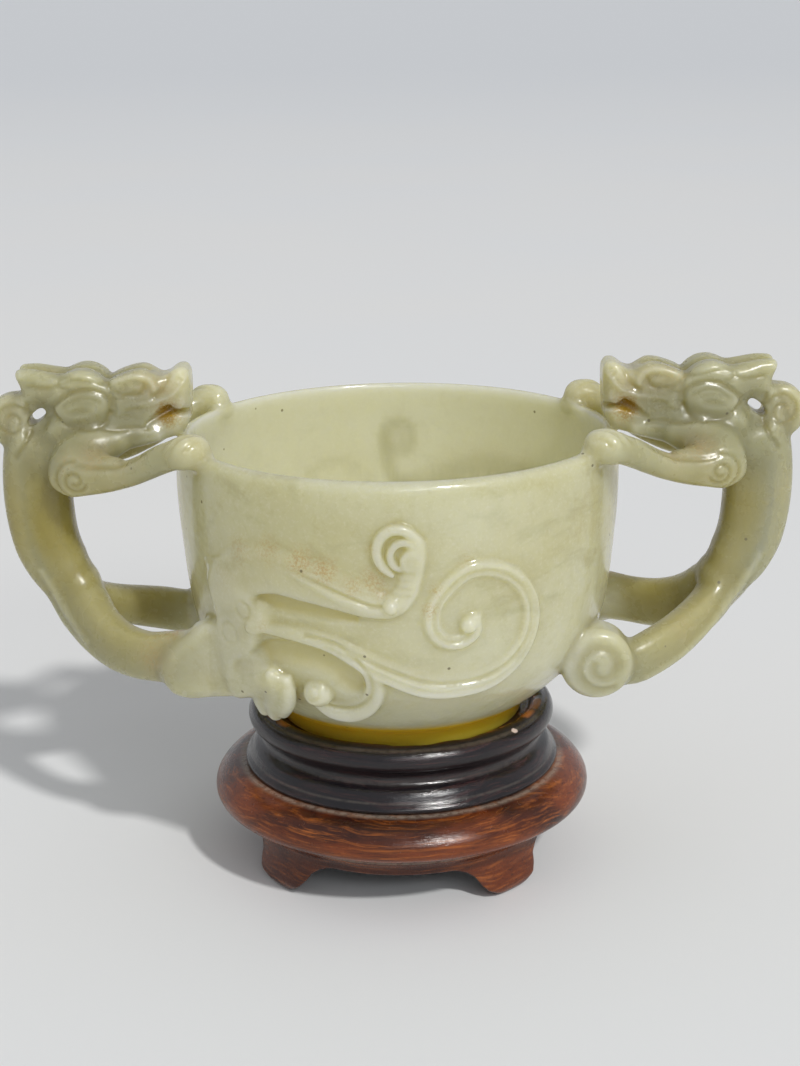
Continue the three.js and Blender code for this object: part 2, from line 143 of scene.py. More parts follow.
def carve(field, slices, distance, blend):
    """Cuts a shape out of the stone."""
    field[slices] = -smooth_min(-field[slices], distance, blend)


def unit(vectors):
    """The same directions with length 1."""
    return vectors / np.maximum(np.linalg.norm(vectors, axis=-1, keepdims=True), 1e-9)


def sampled(points, *values, count):
    """Even samples along a smooth curve through points, with values that change along it."""
    points = np.asarray(points, float)
    lengths = np.linalg.norm(np.diff(points, axis=0), axis=1)
    knots = np.concatenate([[0], np.cumsum(lengths)])
    places = np.linspace(0, knots[-1], count)
    rows = [smooth_curve(knots, points, places)]
    for value in values:
        stops = np.full(len(points), float(value)) if np.isscalar(value) else np.asarray(value, float)
        rows.append(np.interp(places, knots, stops))
    return rows


def oval(du, dv, dt, a, b, c, power):
    """About the distance to an oval of half sizes a, b, c; a higher power makes it boxier."""
    x, y, z = np.abs(du) / a, np.abs(dv) / b, np.abs(dt) / c
    level = (x**power + y**power + z**power) ** (1 / power) + 1e-6
    slope = (x ** (power - 1) / a) ** 2 + (y ** (power - 1) / b) ** 2 + (z ** (power - 1) / c) ** 2
    slope = np.sqrt(slope) / level ** (power - 1) + 1e-6
    return (level - 1) / slope


def outward(points):
    """The way out from the cup's axis at each point."""
    return unit(points * np.array([1.0, 1.0, 0.0]))


def stroke(field, points, half_width, half_depth, facing=SIDE, power=2.0, blend=1.0, cut=False, end=1.0):
    """A bar of stone along a curve. Its width lies square to facing, its depth along facing."""
    points = np.asarray(points, float)
    length = np.linalg.norm(np.diff(points, axis=0), axis=1).sum()
    count = int(max(6, length / (0.8)))
    path, widths, depths = sampled(points, half_width, half_depth, count=count)
    tangents = unit(np.gradient(path, axis=0))
    faces = facing(path) if callable(facing) else np.broadcast_to(facing, path.shape)
    across = unit(np.cross(tangents, faces))
    out = unit(np.cross(across, tangents))
    reach = float(max(widths.max(), depths.max())) + blend + MARGIN
    slices, x, y, z = region(path.min(axis=0) - reach, path.max(axis=0) + reach)
    shape = (x.shape[0], y.shape[1], z.shape[2])
    nearest = np.full(shape, 1e9, np.float32)
    place = np.zeros(shape, np.float32)
    for i in range(count - 1):
        start, step = path[i], path[i + 1] - path[i]
        low = np.minimum(path[i], path[i + 1]) - reach
        high = np.maximum(path[i], path[i + 1]) + reach
        sx = slice(*np.searchsorted(x[:, 0, 0], (low[0], high[0])))
        sy = slice(*np.searchsorted(y[0, :, 0], (low[1], high[1])))
        sz = slice(*np.searchsorted(z[0, 0, :], (low[2], high[2])))
        px, py, pz = x[sx] - start[0], y[:, sy] - start[1], z[:, :, sz] - start[2]
        t = np.clip((px * step[0] + py * step[1] + pz * step[2]) / float(step @ step), 0, 1)
        gap = (px - t * step[0]) ** 2 + (py - t * step[1]) ** 2 + (pz - t * step[2]) ** 2
        better = gap < nearest[sx, sy, sz]
        nearest[sx, sy, sz] = np.where(better, gap, nearest[sx, sy, sz])
        place[sx, sy, sz] = np.where(better, i + t, place[sx, sy, sz])
    inside = nearest < reach * reach
    cells = np.nonzero(inside)
    spot = place[cells]
    index = np.clip(spot.astype(int), 0, count - 2)
    t = (spot - index)[:, None]
    here = np.stack([x[cells[0], 0, 0], y[0, cells[1], 0], z[0, 0, cells[2]]], axis=1)
    offset = here - (path[index] * (1 - t) + path[index + 1] * t)
    a = np.interp(spot, np.arange(count), widths)
    b = np.interp(spot, np.arange(count), depths)
    du = (offset * unit(across[index] * (1 - t) + across[index + 1] * t)).sum(axis=1)
    dv = (offset * unit(out[index] * (1 - t) + out[index + 1] * t)).sum(axis=1)
    dt = (offset * unit(tangents[index] * (1 - t) + tangents[index + 1] * t)).sum(axis=1)
    distance = np.full(shape, FAR, np.float32)
    distance[cells] = oval(du, dv, dt, a, b, np.minimum(a, b) * end, power)
    (carve if cut else add)(field, slices, distance, blend)


def grid_spots(places):
    """Places in millimetres, heights from the rim, as counts of grid steps."""
    return (places - GRID_ORIGIN) / STEP


def sample_field(field, spots):
    """The field at points given in grid steps."""
    index = np.clip(spots.astype(int), 0, np.array(field.shape) - 2)
    part = spots - index
    total = 0
    for corner in range(8):
        step = np.array([corner & 1, corner >> 1 & 1, corner >> 2 & 1])
        weight = np.prod(np.where(step == 1, part, 1 - part), axis=1)
        cell = index + step
        total = total + weight * field[cell[:, 0], cell[:, 1], cell[:, 2]]
    return total


# How far from its given place a fine line looks for the surface.
SEARCH = 2.6


def settle(field, points, facing):
    """Moves points along facing until they lie on the stone's surface."""
    faces = unit(facing(points) if callable(facing) else np.broadcast_to(facing, points.shape))
    reaches = np.arange(SEARCH, -SEARCH - 0.01, -0.1)
    inside = np.array([sample_field(field, grid_spots(points + faces * reach)) < 0 for reach in reaches])
    shift = np.where(inside.any(axis=0), reaches[inside.argmax(axis=0)], 0.0)
    return points + faces * shift[:, None]


def line_on(field, points, width, depth, facing=SIDE, blend=0.3, cut=True):
    """A fine line cut into the surface, or raised on it, wherever the surface lies along facing."""
    points = np.asarray(points, float)
    count = int(max(4, np.linalg.norm(np.diff(points, axis=0), axis=1).sum() / 0.9))
    path, widths, depths = sampled(points, width, depth, count=count)
    stroke(field, settle(field, path, facing), widths, depths, facing=facing, blend=blend, cut=cut)


def lump(field, centre, halves, tilt=0.0, turn=0.0, power=2.0, blend=1.0, cut=False):
    """An oval lump. Tilt turns it about Y, which lifts its +X end; turn then turns it about Z."""
    reach = max(halves) + blend + MARGIN
    centre = np.asarray(centre, float)
    slices, x, y, z = region(centre - reach, centre + reach)
    px, py, pz = x - centre[0], y - centre[1], z - centre[2]
    c, s = math.cos(math.radians(turn)), math.sin(math.radians(turn))
    qx, qy = px * c + py * s, py * c - px * s
    c, s = math.cos(math.radians(tilt)), math.sin(math.radians(tilt))
    along, up = qx * c + pz * s, pz * c - qx * s
    shape = np.broadcast_shapes(along.shape, qy.shape, up.shape)
    distance = oval(*np.broadcast_arrays(along, qy, up), *halves, power).astype(np.float32)
    (carve if cut else add)(field, slices, distance.reshape(shape), blend)


def rounded_edge(side, face, rounding):
    """Distance to a plate from the distances to its side and its face, with the edge between them rounded."""
    outside = np.sqrt(np.maximum(side, 0) ** 2 + np.maximum(face, 0) ** 2)
    return (outside + np.minimum(np.maximum(side, face), 0) - rounding).astype(np.float32)


def disc(field, centre, radius, half_depth, crown, blend):
    """A round boss with its axis along Y and domed faces."""
    reach = radius + half_depth + blend + MARGIN
    centre = np.asarray(centre, float)
    slices, x, y, z = region(centre - reach, centre + reach)
    r = np.sqrt((x - centre[0]) ** 2 + (z - centre[2]) ** 2)
    dome = crown * np.clip(1 - (r / radius) ** 2, 0, 1)
    rounding = min(1.1, half_depth * 0.5)
    side = r - radius + rounding
    face = np.abs(y - centre[1]) - half_depth - dome + rounding
    add(field, slices, rounded_edge(side, face, rounding), blend)


def spiral_points(centre, start_radius, end_radius, start_degrees, turns, count=30):
    """Points of a spiral that winds inwards in the XZ plane."""
    points = []
    for i in range(count):
        part = i / (count - 1)
        radius = start_radius + (end_radius - start_radius) * part
        angle = math.radians(start_degrees + 360 * turns * part)
        points.append(
            (centre[0] + radius * math.cos(angle), centre[1], centre[2] + radius * math.sin(angle))
        )
    return points


def outline_distance(points, x, z):
    """Signed distance to a closed outline in the XZ plane, negative inside."""
    points = np.asarray(points, float)
    best = np.full(np.broadcast_shapes(x.shape, z.shape), 1e9)
    inside = np.zeros(best.shape, bool)
    for (ax, az), (bx, bz) in zip(points, np.roll(points, -1, axis=0)):
        dx, dz = bx - ax, bz - az
        t = np.clip(((x - ax) * dx + (z - az) * dz) / (dx * dx + dz * dz + 1e-9), 0, 1)
        best = np.minimum(best, (x - ax - t * dx) ** 2 + (z - az - t * dz) ** 2)
        crosses = ((az > z) != (bz > z)) & (x < (bx - ax) * (z - az) / (bz - az + 1e-12) + ax)
        inside ^= crosses
    return np.where(inside, -1, 1) * np.sqrt(best)


def rounded(points):
    """A closed outline with its corners cut off twice."""
    points = np.asarray(points, float)
    for _ in range(2):
        after = np.roll(points, -1, axis=0)
        points = np.stack(
            [0.78 * points + 0.22 * after, 0.22 * points + 0.78 * after], axis=1
        ).reshape(-1, 2)
    return points


def slab(field, points, stops, depths, rounding, blend):
    """A shape with an outline in the XZ plane and a depth along Y that changes with X."""
    points = rounded(points)
    low = (points[:, 0].min() - 3, -max(depths) - 3, points[:, 1].min() - 3)
    high = (points[:, 0].max() + 3, max(depths) + 3, points[:, 1].max() + 3)
    slices, x, y, z = region(low, high)
    side = outline_distance(points, x[:, 0, :], z[0, :, :])[:, None, :] + rounding
    face = np.abs(y) - np.interp(x, stops, depths) + rounding
    add(field, slices, rounded_edge(side, face, rounding), blend)


def wall_rows(rows, proud=0.0, share=0.0):
    """Points on the wall and half widths, from rows of angle, height and half width.

    Proud lifts the points off the wall, and share shifts them sideways by that part of the half width.
    """
    rows = np.asarray(rows, float)
    radii = wall_radius(rows[:, 1])
    flat = np.stack([np.radians(rows[:, 0]) * radii, rows[:, 1]], axis=1)
    lean = unit(np.gradient(flat, axis=0))
    flat_shift = np.stack([-lean[:, 1], lean[:, 0]], axis=1) * (share * rows[:, 2])[:, None]
    angles = rows[:, 0] + np.degrees(flat_shift[:, 0] / radii)
    heights = rows[:, 1] + flat_shift[:, 1]
    return [on_wall(a, h, proud) for a, h in zip(angles, heights)], rows[:, 2]


def band(field, rows, height, power=2.6, blend=0.5):
    """A raised band of relief on the wall."""
    points, widths = wall_rows(rows)
    stroke(field, points, widths, height, facing=outward, power=power, blend=blend)


def wall_groove(field, rows, width, depth, share=0.0):
    """A fine cut along a band of relief."""
    points, _ = wall_rows(rows, 0.4, share)
    line_on(field, points, width, depth, facing=outward)


def wall_ball(field, degrees, height, radius, proud):
    """A small ball that stands out of the wall."""
    lump(field, on_wall(degrees, height, proud), (radius, radius, radius), blend=0.4)


def wall_circle(degrees, height, radii, angles):
    """Rows on the wall round a point, at the given radii and angles."""
    return [
        (degrees + DEGREES_IN_A_RADIAN * r / 34 * math.cos(a), height + r * math.sin(a), 0.3)
        for r, a in zip(radii, angles)
    ]


def bowl_profile():
    """Radii and heights down the outside of the bowl and over its foot, as a closed outline from the axis."""
    outside = [
        (0.0, 0.0), (RIM_RADIUS - 2.1, 0.0), (RIM_RADIUS - 1.2, -0.1), (RIM_RADIUS - 0.55, -0.5),
        (RIM_RADIUS - 0.25, -1.2)
    ]
    heights = -np.linspace(2.2, WALL_DEPTHS[-1], 40)
    outside += list(zip(wall_radius(heights), heights))
    outside += [
        (FOOT_RADIUS + 0.1, -45.8), (FOOT_RADIUS, -46.6), (FOOT_RADIUS, -47.6), (FOOT_RADIUS - 0.4, -48.0)
    ]
    outside += [(FOOT_BORE + 0.4, -48.0), (FOOT_BORE, -47.7), (FOOT_BORE, -48.0 + FOOT_RECESS)]
    return outside + [(0.0, -48.0 + FOOT_RECESS)]


def hollow_profile():
    """The inside of the bowl, open above the rim."""
    inner = [
        (0.0, 14.0), (RIM_RADIUS - 5.0, 14.0), (RIM_RADIUS - 4.6, 2.0), (RIM_RADIUS - 2.4, 0.6),
        (RIM_RADIUS - 2.2, -0.05)
    ]
    inner.append((RIM_RADIUS - 2.45, -0.7))
    heights = -np.linspace(1.6, CUP_HEIGHT - FLOOR_THICKNESS - 4.2, 36)
    radii = wall_radius(heights) - WALL * np.interp(-heights, [0, 12, 30, 40], [0.95, 1.0, 1.15, 1.75])
    inner += list(zip(radii, heights))
    inner += [(17.0, -CUP_HEIGHT + FLOOR_THICKNESS + 2.0), (11.0, -CUP_HEIGHT + FLOOR_THICKNESS + 0.4)]
    return inner + [(0.0, -CUP_HEIGHT + FLOOR_THICKNESS)]


def turned_distance(profile):
    """Distance to a turned shape over the whole grid, from its outline of radii and heights."""
    radii = np.arange(0, 80, 0.2)
    mirrored = [(-r, z) for r, z in reversed(profile) if r > 0]
    table = outline_distance(list(profile) + mirrored, radii[:, None], AXIS_Z[None, :].astype(float))
    table = np.clip(table, -FAR, FAR).astype(np.float32)
    spot = np.sqrt(AXIS_X[:, None] ** 2 + AXIS_Y[None, :] ** 2) / 0.2
    index = spot.astype(int)
    part = (spot - index).astype(np.float32)[:, :, None]
    return table[index] * (1 - part) + table[index + 1] * part


BODY = [
    (56.0, 0, 4.5), (57.6, 0, 0.5), (58.7, 0, -4), (59.1, 0, -9), (58.9, 0, -14), (58.0, 0, -19),
    (56.0, 0, -23.2), (54.2, 0, -25.4)
]
BODY_WIDTH = [5.0, 5.4, 5.6, 5.6, 5.5, 5.3, 4.9, 3.9]
BODY_DEPTH = [4.6, 4.7, 4.7, 4.6, 4.5, 4.4, 4.4, 4.0]


def side_by_side(points, shift):
    """A line beside a curve in the XZ plane, shifted outwards by shift."""
    points = np.asarray(points, float)
    lean = unit(np.gradient(points, axis=0))
    across = np.stack([-lean[:, 2], np.zeros(len(points)), lean[:, 0]], axis=1)
    return points + across * shift


def turning_out(side):
    """The way a strand's flat side faces: sideways at the body, then slanting out along the wall."""
    def facing(points):
        """The direction at each point along the strand."""
        share = fade(points[:, :1], 56.0, 49.0)
        return unit(np.concatenate([0.75 * share, side * np.ones_like(share), 0 * share], axis=1))
    return facing


def sculpt_body(field):
    """The dragon's back, which is the handle's grip, and the two strands that it parts into."""
    stroke(field, BODY, BODY_WIDTH, BODY_DEPTH, power=2.5, blend=1.0)
    haunch = [
        (56.0, 0.0, -23.4), (54.5, 0.8, -26.2), (52.2, 2.7, -29.3), (49.2, 6.0, -32.2), (44.8, 9.9, -34.1),
        (40.3, 12.8, -34.4), (36.5, 14.2, -34.0), (32.0, 15.4, -33.0)
    ]
    stroke(
        field, haunch, [3.4, 4.2, 4.7, 4.5, 4.2, 4.0, 4.2, 4.0], [3.0, 3.4, 3.4, 3.0, 2.8, 2.7, 2.7, 2.7],
        facing=turning_out(1), power=2.5, blend=1.6
    )
    scroll = [
        (55.8, 0.0, -23.0), (54.0, -0.9, -26.4), (51.4, -3.2, -29.6), (48.2, -6.4, -31.6),
        (44.6, -9.8, -33.3), (41.0, -12.5, -34.7), (37.4, -14.3, -35.9), (34.0, -15.4, -36.5)
    ]
    stroke(
        field, scroll, [3.4, 3.2, 3.1, 3.2, 3.5, 3.7, 3.7, 2.9], [3.0, 3.2, 3.0, 2.8, 2.7, 2.7, 2.7, 2.4],
        facing=turning_out(-1), power=2.5, blend=1.4
    )
    for side in (-1, 1):
        line_on(field, side_by_side(BODY[1:-1], 1.7), 0.6, 0.45, facing=SIDE * side, blend=0.9)
    ridge = [
        (59.0, -3.0, -21.5), (55.8, -4.0, -27.0), (51.4, -7.0, -31.6), (46.0, -11.2, -35.2),
        (39.0, -15.0, -38.2)
    ]
    line_on(
        field, ridge, [0.3, 0.6, 0.6, 0.6, 0.3], [0.2, 0.42, 0.42, 0.42, 0.2], facing=turning_out(-1),
        blend=0.9, cut=False
    )
    ridge = [(58.6, 3.0, -22.5), (55.2, 4.2, -28.6), (51.0, 7.8, -33.6)]
    line_on(field, ridge, [0.3, 0.6, 0.2], [0.2, 0.4, 0.1], facing=turning_out(1), blend=0.9, cut=False)


def sculpt_scroll(field):
    """The scroll that one strand rolls up into, low on the wall."""
    centre = (31.3, -15.4, -34.9)
    disc(field, centre, 5.8, 3.2, crown=1.1, blend=1.1)
    groove = spiral_points((centre[0] + 0.6, centre[1] - 4.0, centre[2]), 4.6, 1.3, -60, -1.4)
    line_on(field, groove, [0.7] * 20 + [0.4] * 10, 0.26, facing=-SIDE, blend=0.8)


def on_side(side, rows):
    """Points given for the +Y side, put on the side of that sign."""
    return [(x, side * y, z) for x, y, z in rows]


def beside(side, y, rows):
    """Points given by X and Z, at the distance y to the side of that sign."""
    return [(x, side * y, z) for x, z in rows]


def sculpt_front_legs(field):
    """Two forelegs: a shoulder, an elbow with a cut spiral, and a forearm that runs to the rim."""
    lump(field, (53.2, 0, -2.4), (7.2, 6.2, 3.4), tilt=-12, power=2.2, blend=2.2)
    for side in (-1, 1):
        arm = [
            (53.1, 8.0, -5.3), (52.0, 8.7, -5.5), (49.6, 9.8, -5.3), (46.0, 11.0, -4.9), (43.2, 12.4, -4.2),
            (39.6, 14.6, -2.5), (36.6, 16.6, -0.7), (34.0, 18.0, 0.5)
        ]
        slanted = np.array([0.45, side * 0.9, 0])
        stroke(
            field, on_side(side, arm), [2.9, 3.1, 2.8, 2.4, 2.1, 2.1, 2.3, 2.3],
            [2.3, 2.4, 2.4, 2.3, 2.2, 2.3, 2.4, 2.3], facing=slanted, power=2.1, blend=1.2, end=1.25
        )
        shoulder = [(51.8, 7.0, -3.7), (50.2, 6.4, -2.2), (48.0, 5.0, -0.6)]
        stroke(field, on_side(side, shoulder), [2.5, 2.6, 2.4], [2.1, 2.0, 1.6], blend=2.6)
        web = [(51.5, 6.2, -2.6), (48.6, 5.4, -1.6), (45.0, 4.4, -0.6)]
        stroke(field, on_side(side, web), [2.6, 2.5, 2.0], [2.4, 2.4, 2.0], blend=3.2)
        armpit = [(50.8, 9.0, -3.8), (47.8, 9.4, -3.6), (45.0, 10.6, -3.4)]
        stroke(field, on_side(side, armpit), [1.9, 1.8, 1.4], [1.8, 1.7, 1.4], blend=2.4)
        for radius, start, turns, deep in ((2.0, 200, 1.3, 0.36), (3.1, 300, 0.42, 0.28)):
            groove = spiral_points(
                (51.1, side * 11.0, -5.3), radius, radius - 1.3 * (turns > 1), start, turns, 24
            )
            line_on(field, groove, 0.24, deep, facing=SIDE * side)
        crease = [
            (50.6, 10.6, -3.2), (47.4, 11.4, -3.4), (44.4, 12.6, -3.0), (41.2, 14.4, -1.6),
            (38.4, 16.2, 0.2)
        ]
        line_on(
            field, on_side(side, crease), [0.15, 0.3, 0.35, 0.3, 0.15], [0.1, 0.3, 0.35, 0.3, 0.1],
            facing=np.array([0.35, side, 0.5]), blend=0.5
        )


# Where the paws clasp the rim, in degrees from +X.
PAW_DEGREES = 30.2


def sculpt_paw(field, end, side):
    """A paw like a mitten that clasps the rim, with fine cuts between its toes. End and side are 1 or -1."""
    turn = math.radians(PAW_DEGREES)
    lump(
        field, (end * 31.7, end * side * 18.3, 0.9), (3.1, 2.4, 2.7), turn=math.degrees(side * turn),
        power=2.1, blend=1.6
    )
    for slant in (-2.4, 0.2, 2.6):
        angle = turn + math.radians(slant)
        c, s = end * math.cos(angle), end * side * math.sin(angle)
        cuts = [(r * c, r * s, h) for r, h in ((40.6, 0.6), (39.4, 2.6), (37.4, 3.8), (35.2, 3.4))]
        line_on(
            field, cuts, [0.12, 0.22, 0.22, 0.12], [0.12, 0.3, 0.3, 0.12],
            facing=np.array([0.5 * c, 0.5 * s, 1.0]), blend=0.35
        )


# The head's outline by X and height, and half its depth at places along X.
HEAD_STOPS = (33, 35, 37.6, 41, 45, 49, 54, 57.5, 61, 63)
HEAD_HALF_DEPTHS = (3.5, 3.9, 3.7, 4.4, 5.0, 5.4, 5.2, 4.2, 3.4, 3.0)
HEAD = [
    (33.2, 5.4), (33.1, 8.4), (33.2, 10.1), (34.0, 11.0), (35.4, 10.8), (36.6, 9.8), (38.0, 9.4),
    (39.2, 10.1), (40.6, 10.8), (42.3, 10.6), (44.4, 9.9), (45.9, 9.2), (46.5, 8.9), (47.2, 9.7),
    (48.8, 10.7), (50.6, 11.0), (52.2, 10.6), (53.8, 9.8), (55.6, 10.1), (57.8, 10.7), (60.2, 10.9),
    (61.1, 10.6), (61.2, 9.5), (60.5, 8.1), (60.2, 6.9), (61.6, 6.0), (62.2, 2.0), (62.6, -2.4),
    (61.0, -4.6), (57.0, -3.6), (52.0, -1.6), (48.5, -2.4), (45.3, -2.4), (42.0, -1.9), (39.6, -1.3),
    (36.5, -0.6), (34.4, 0.4), (33.3, 2.4),
]


def sculpt_head(field):
    """The head: a long flat snout that looks over the rim, ears laid back, a horn and a curled mane."""
    slab(field, HEAD, HEAD_STOPS, HEAD_HALF_DEPTHS, 1.5, 0.8)
    disc(field, (62.0, 0, 2.2), 4.4, 2.3, crown=0.3, blend=1.0)
    for side in (-1, 1):
        lump(field, (58.2, side * 5.6, 3.2), (3.2, 3.0, 2.6), tilt=-42, power=2.2, blend=2.2, cut=True)
    lump(field, (58.1, 0, 3.1), (1.9, 9.0, 0.8), tilt=-42, power=2.6, blend=0.4, cut=True)
    for side in (-1, 1):
        facing = SIDE * side
        sculpt_ear(field, side)
        sculpt_snout(field, side)
        groove = spiral_points((62.2, side * 2.6, 2.4), 3.0, 0.9, 150, -1.3, 26)
        line_on(field, groove, 0.25, 0.3, facing)
        mane = [(59.4, 5.4), (59.0, 1.2), (60.0, -1.0), (61.6, -3.0)]
        line_on(field, beside(side, 3.4, mane), 0.25, 0.3, facing, blend=0.5)
        cheek = [(54.6, 1.2), (52.6, 0.3), (49.4, 0.0), (45.2, -0.1), (41.6, 0.3), (38.4, 0.1)]
        stroke(
            field, beside(side, 4.2, cheek), [0.9, 1.1, 1.1, 1.0, 0.8, 0.5], [0.8, 0.8, 0.8, 0.6, 0.4, 0.3],
            blend=2.2
        )
        under = [(47.2, 1.7), (44.6, 1.4), (42.4, 1.6), (40.0, 1.4)]
        line_on(field, beside(side, 4.8, under), 0.3, 0.25, facing, blend=0.5)
        lock = [(46.8, 8.9), (49.0, 9.3), (51.4, 9.7), (53.6, 8.9), (56.0, 8.3), (59.0, 8.5)]
        line_on(field, beside(side, 4.6, lock), 0.22, 0.3, facing)
        curl = [(52.0, 10.2), (53.2, 9.8), (54.2, 9.2), (53.8, 8.4), (52.4, 8.2)]
        line_on(field, beside(side, 4.6, curl), 0.22, 0.3, facing)
        horn = [(53.4, 9.4), (55.8, 9.6), (58.4, 9.9), (60.3, 10.0)]
        stroke(field, beside(side, 2.6, horn), [0.6, 0.8, 0.8, 0.6], 1.0, blend=0.6)
    top = [(40.0, 12.0), (44.6, 11.2), (47.4, 11.2), (51.0, 12.0), (56.0, 11.5), (60.6, 11.6)]
    line_on(field, beside(0, 0, top), 0.8, 0.6, UP, blend=0.8)


def sculpt_ear(field, side):
    """An ear laid flat on the side of the head: a leaf with a sunk middle, and a fold under it."""
    facing = SIDE * side
    lump(field, (50.3, side * 4.6, 5.0), (4.4, 1.4, 2.5), tilt=-8, power=2.2, blend=0.5)
    lump(field, (50.6, side * 6.3, 5.2), (3.2, 0.7, 1.4), tilt=-8, blend=0.4, cut=True)
    hollow = [(47.4, 5.5, 6.0), (49.0, 5.8, 6.7), (51.2, 5.8, 6.6), (53.2, 5.5, 5.4)]
    line_on(field, on_side(side, hollow), 0.2, 0.25, facing)
    vein = [(48.2, 5.5, 5.0), (50.0, 5.6, 5.5), (52.2, 5.5, 5.0)]
    line_on(field, on_side(side, vein), 0.28, 0.28, facing, cut=False)
    rim = [(45.8, 4.2), (45.9, 6.6), (48.2, 7.9), (51.6, 7.7), (55.2, 5.2)]
    line_on(field, beside(side, 5.2, rim), 0.28, 0.35, facing, blend=0.4)
    fold = [(45.8, 4.2), (46.9, 2.3), (49.6, 1.7), (52.6, 2.0), (55.2, 4.4)]
    line_on(field, beside(side, 5.2, fold), 0.32, 0.38, facing, blend=0.5)


# How far to the side the snout's fine lines are placed before they settle on it.
SNOUT = 4.2


def sculpt_snout(field, side):
    """One side of the snout: the nose's wing and curl, the brow, the eye and the corner of the mouth."""
    facing = SIDE * side
    wing = [(33.8, 9.2), (34.8, 7.8), (36.1, 6.6), (38.0, 5.8), (40.2, 5.4), (43.0, 5.3)]
    widths = [0.3, 0.38, 0.38, 0.34, 0.28, 0.15]
    line_on(field, beside(side, SNOUT, wing), widths, [0.4, 0.5, 0.5, 0.45, 0.3, 0.15], facing, cut=False)
    nose = [(33.9, 10.0), (34.9, 9.9), (35.0, 9.2), (34.2, 9.1)]
    line_on(field, beside(side, SNOUT, nose), 0.22, 0.3, facing)
    bridge = [(36.6, 9.6), (37.0, 8.4), (37.7, 7.2), (38.8, 6.5)]
    line_on(field, beside(side, SNOUT, bridge), 0.35, 0.4, facing, blend=0.5)
    brow = [(38.7, 7.6), (39.2, 9.0), (40.8, 9.8), (43.0, 9.7), (45.0, 9.1)]
    line_on(
        field, beside(side, SNOUT, brow), [0.3, 0.45, 0.45, 0.4, 0.2], 0.42, facing, blend=0.5, cut=False
    )
    lump(field, (42.2, side * 4.1, 8.3), (1.6, 0.7, 0.75), tilt=8, blend=0.45)
    lid = [(40.0, 8.4), (40.6, 7.2), (42.4, 6.8), (44.4, 7.2), (45.4, 8.2)]
    line_on(field, beside(side, SNOUT, lid), 0.24, 0.3, facing)
    jaw = [(46.2, 9.0), (45.6, 7.4), (45.0, 5.2), (45.2, 3.2)]
    line_on(field, beside(side, SNOUT, jaw), 0.2, 0.3, facing, blend=0.4)
    for level, start in ((4.4, 41.0), (3.4, 42.4), (6.2, 43.4)):
        scratch = [(start, level), (start + 1.2, level + 0.2), (start + 2.2, level - 0.1)]
        line_on(field, beside(side, SNOUT, scratch), 0.18, 0.2, facing)
    mouth = [(32.2, 3.5), (34.0, 3.8), (36.0, 4.3), (38.0, 3.4), (40.6, 1.8)]
    widths, depths = [0.5, 0.5, 0.95, 0.85, 0.3], [4.0, 3.6, 3.0, 2.3, 1.1]
    stroke(field, beside(side, 5.2, mouth), widths, depths, power=3.0, blend=0.3, cut=True)
    tooth = [(34.4, 5.1), (35.0, 4.5), (35.9, 4.9)]
    stroke(field, beside(side, 3.4, tooth), [0.45, 0.35, 0.3], 0.5, blend=0.3)


# The thigh's front at places along X, and how steeply it leans.
THIGH_PLACES = (16, 18, 22, 26, 30, 34, 36, 39, 42)
THIGH_FRONT = (28.6, 27.6, 25.2, 22.7, 20.6, 19.3, 18.8, 17.8, 16.6)
LEAN_SHARE = 0.88


def sculpt_haunch(field):
    """The thigh, a smooth leaf that leans on the wall, and its foot with three claws."""
    outline = [
        (31.4, -26.4), (34.3, -29.4), (37.4, -32.2), (38.8, -34.9), (37.9, -37.6), (36.4, -39.4),
        (33.6, -39.9), (29.8, -39.1), (25.6, -38.2), (22.0, -36.6), (19.4, -35.0), (18.6, -32.4),
        (21.0, -28.6), (25.4, -26.4)
    ]
    leaning_plate(field, outline, THIGH_PLACES, THIGH_FRONT, 2.3, 1.7, 1.4)
    band(
        field, [(38, -25, 6.0), (44, -24.2, 5.2), (49, -23.0, 3.4), (53, -22.4, 1.2)], 0.8, power=2.0,
        blend=2.8
    )
    foot = [
        on_wall(41, -35.2, 2.0), on_wall(46, -34.6, 1.5), on_wall(51, -33.6, 1.2), on_wall(55, -33.0, 1.2)
    ]
    stroke(field, foot, [2.8, 2.5, 2.2, 2.0], [1.9, 1.8, 1.7, 1.5], facing=outward, blend=1.3)
    claws = (((50.6, -33.2, 1.6), (48.8, -35.8, 1.9), (47.0, -38.2, 2.7), (46.2, -40.0, 3.6)),
             ((55.0, -32.6, 1.5), (53.8, -35.4, 2.0), (51.8, -38.0, 2.8), (50.2, -40.2, 3.8)),
             ((58.0, -33.0, 1.0), (57.8, -35.2, 1.6), (56.2, -37.6, 2.4), (54.0, -39.4, 3.2)))
    for claw, wide in zip(claws, (1.6, 1.9, 1.5)):
        stroke(
            field, [on_wall(*p) for p in claw], [wide * 0.8, wide, wide, wide * 0.7], [1.0, 1.3, 1.4, 1.1],
            facing=outward, power=2.2, blend=0.5
        )
    wall_ball(field, 55.0, -32.0, 0.9, 1.7)
    rings = ((42.1, -26.7, 1.7, 2.2), (48.3, -22.0, 1.4, 0.9))
    for degrees, height, radius, proud in rings:
        ring = wall_circle(degrees, height, [radius] * 20, np.linspace(0, 2 * math.pi, 20))
        points, _ = wall_rows(ring, proud)
        line_on(field, points, 0.22, 0.2, facing=outward)


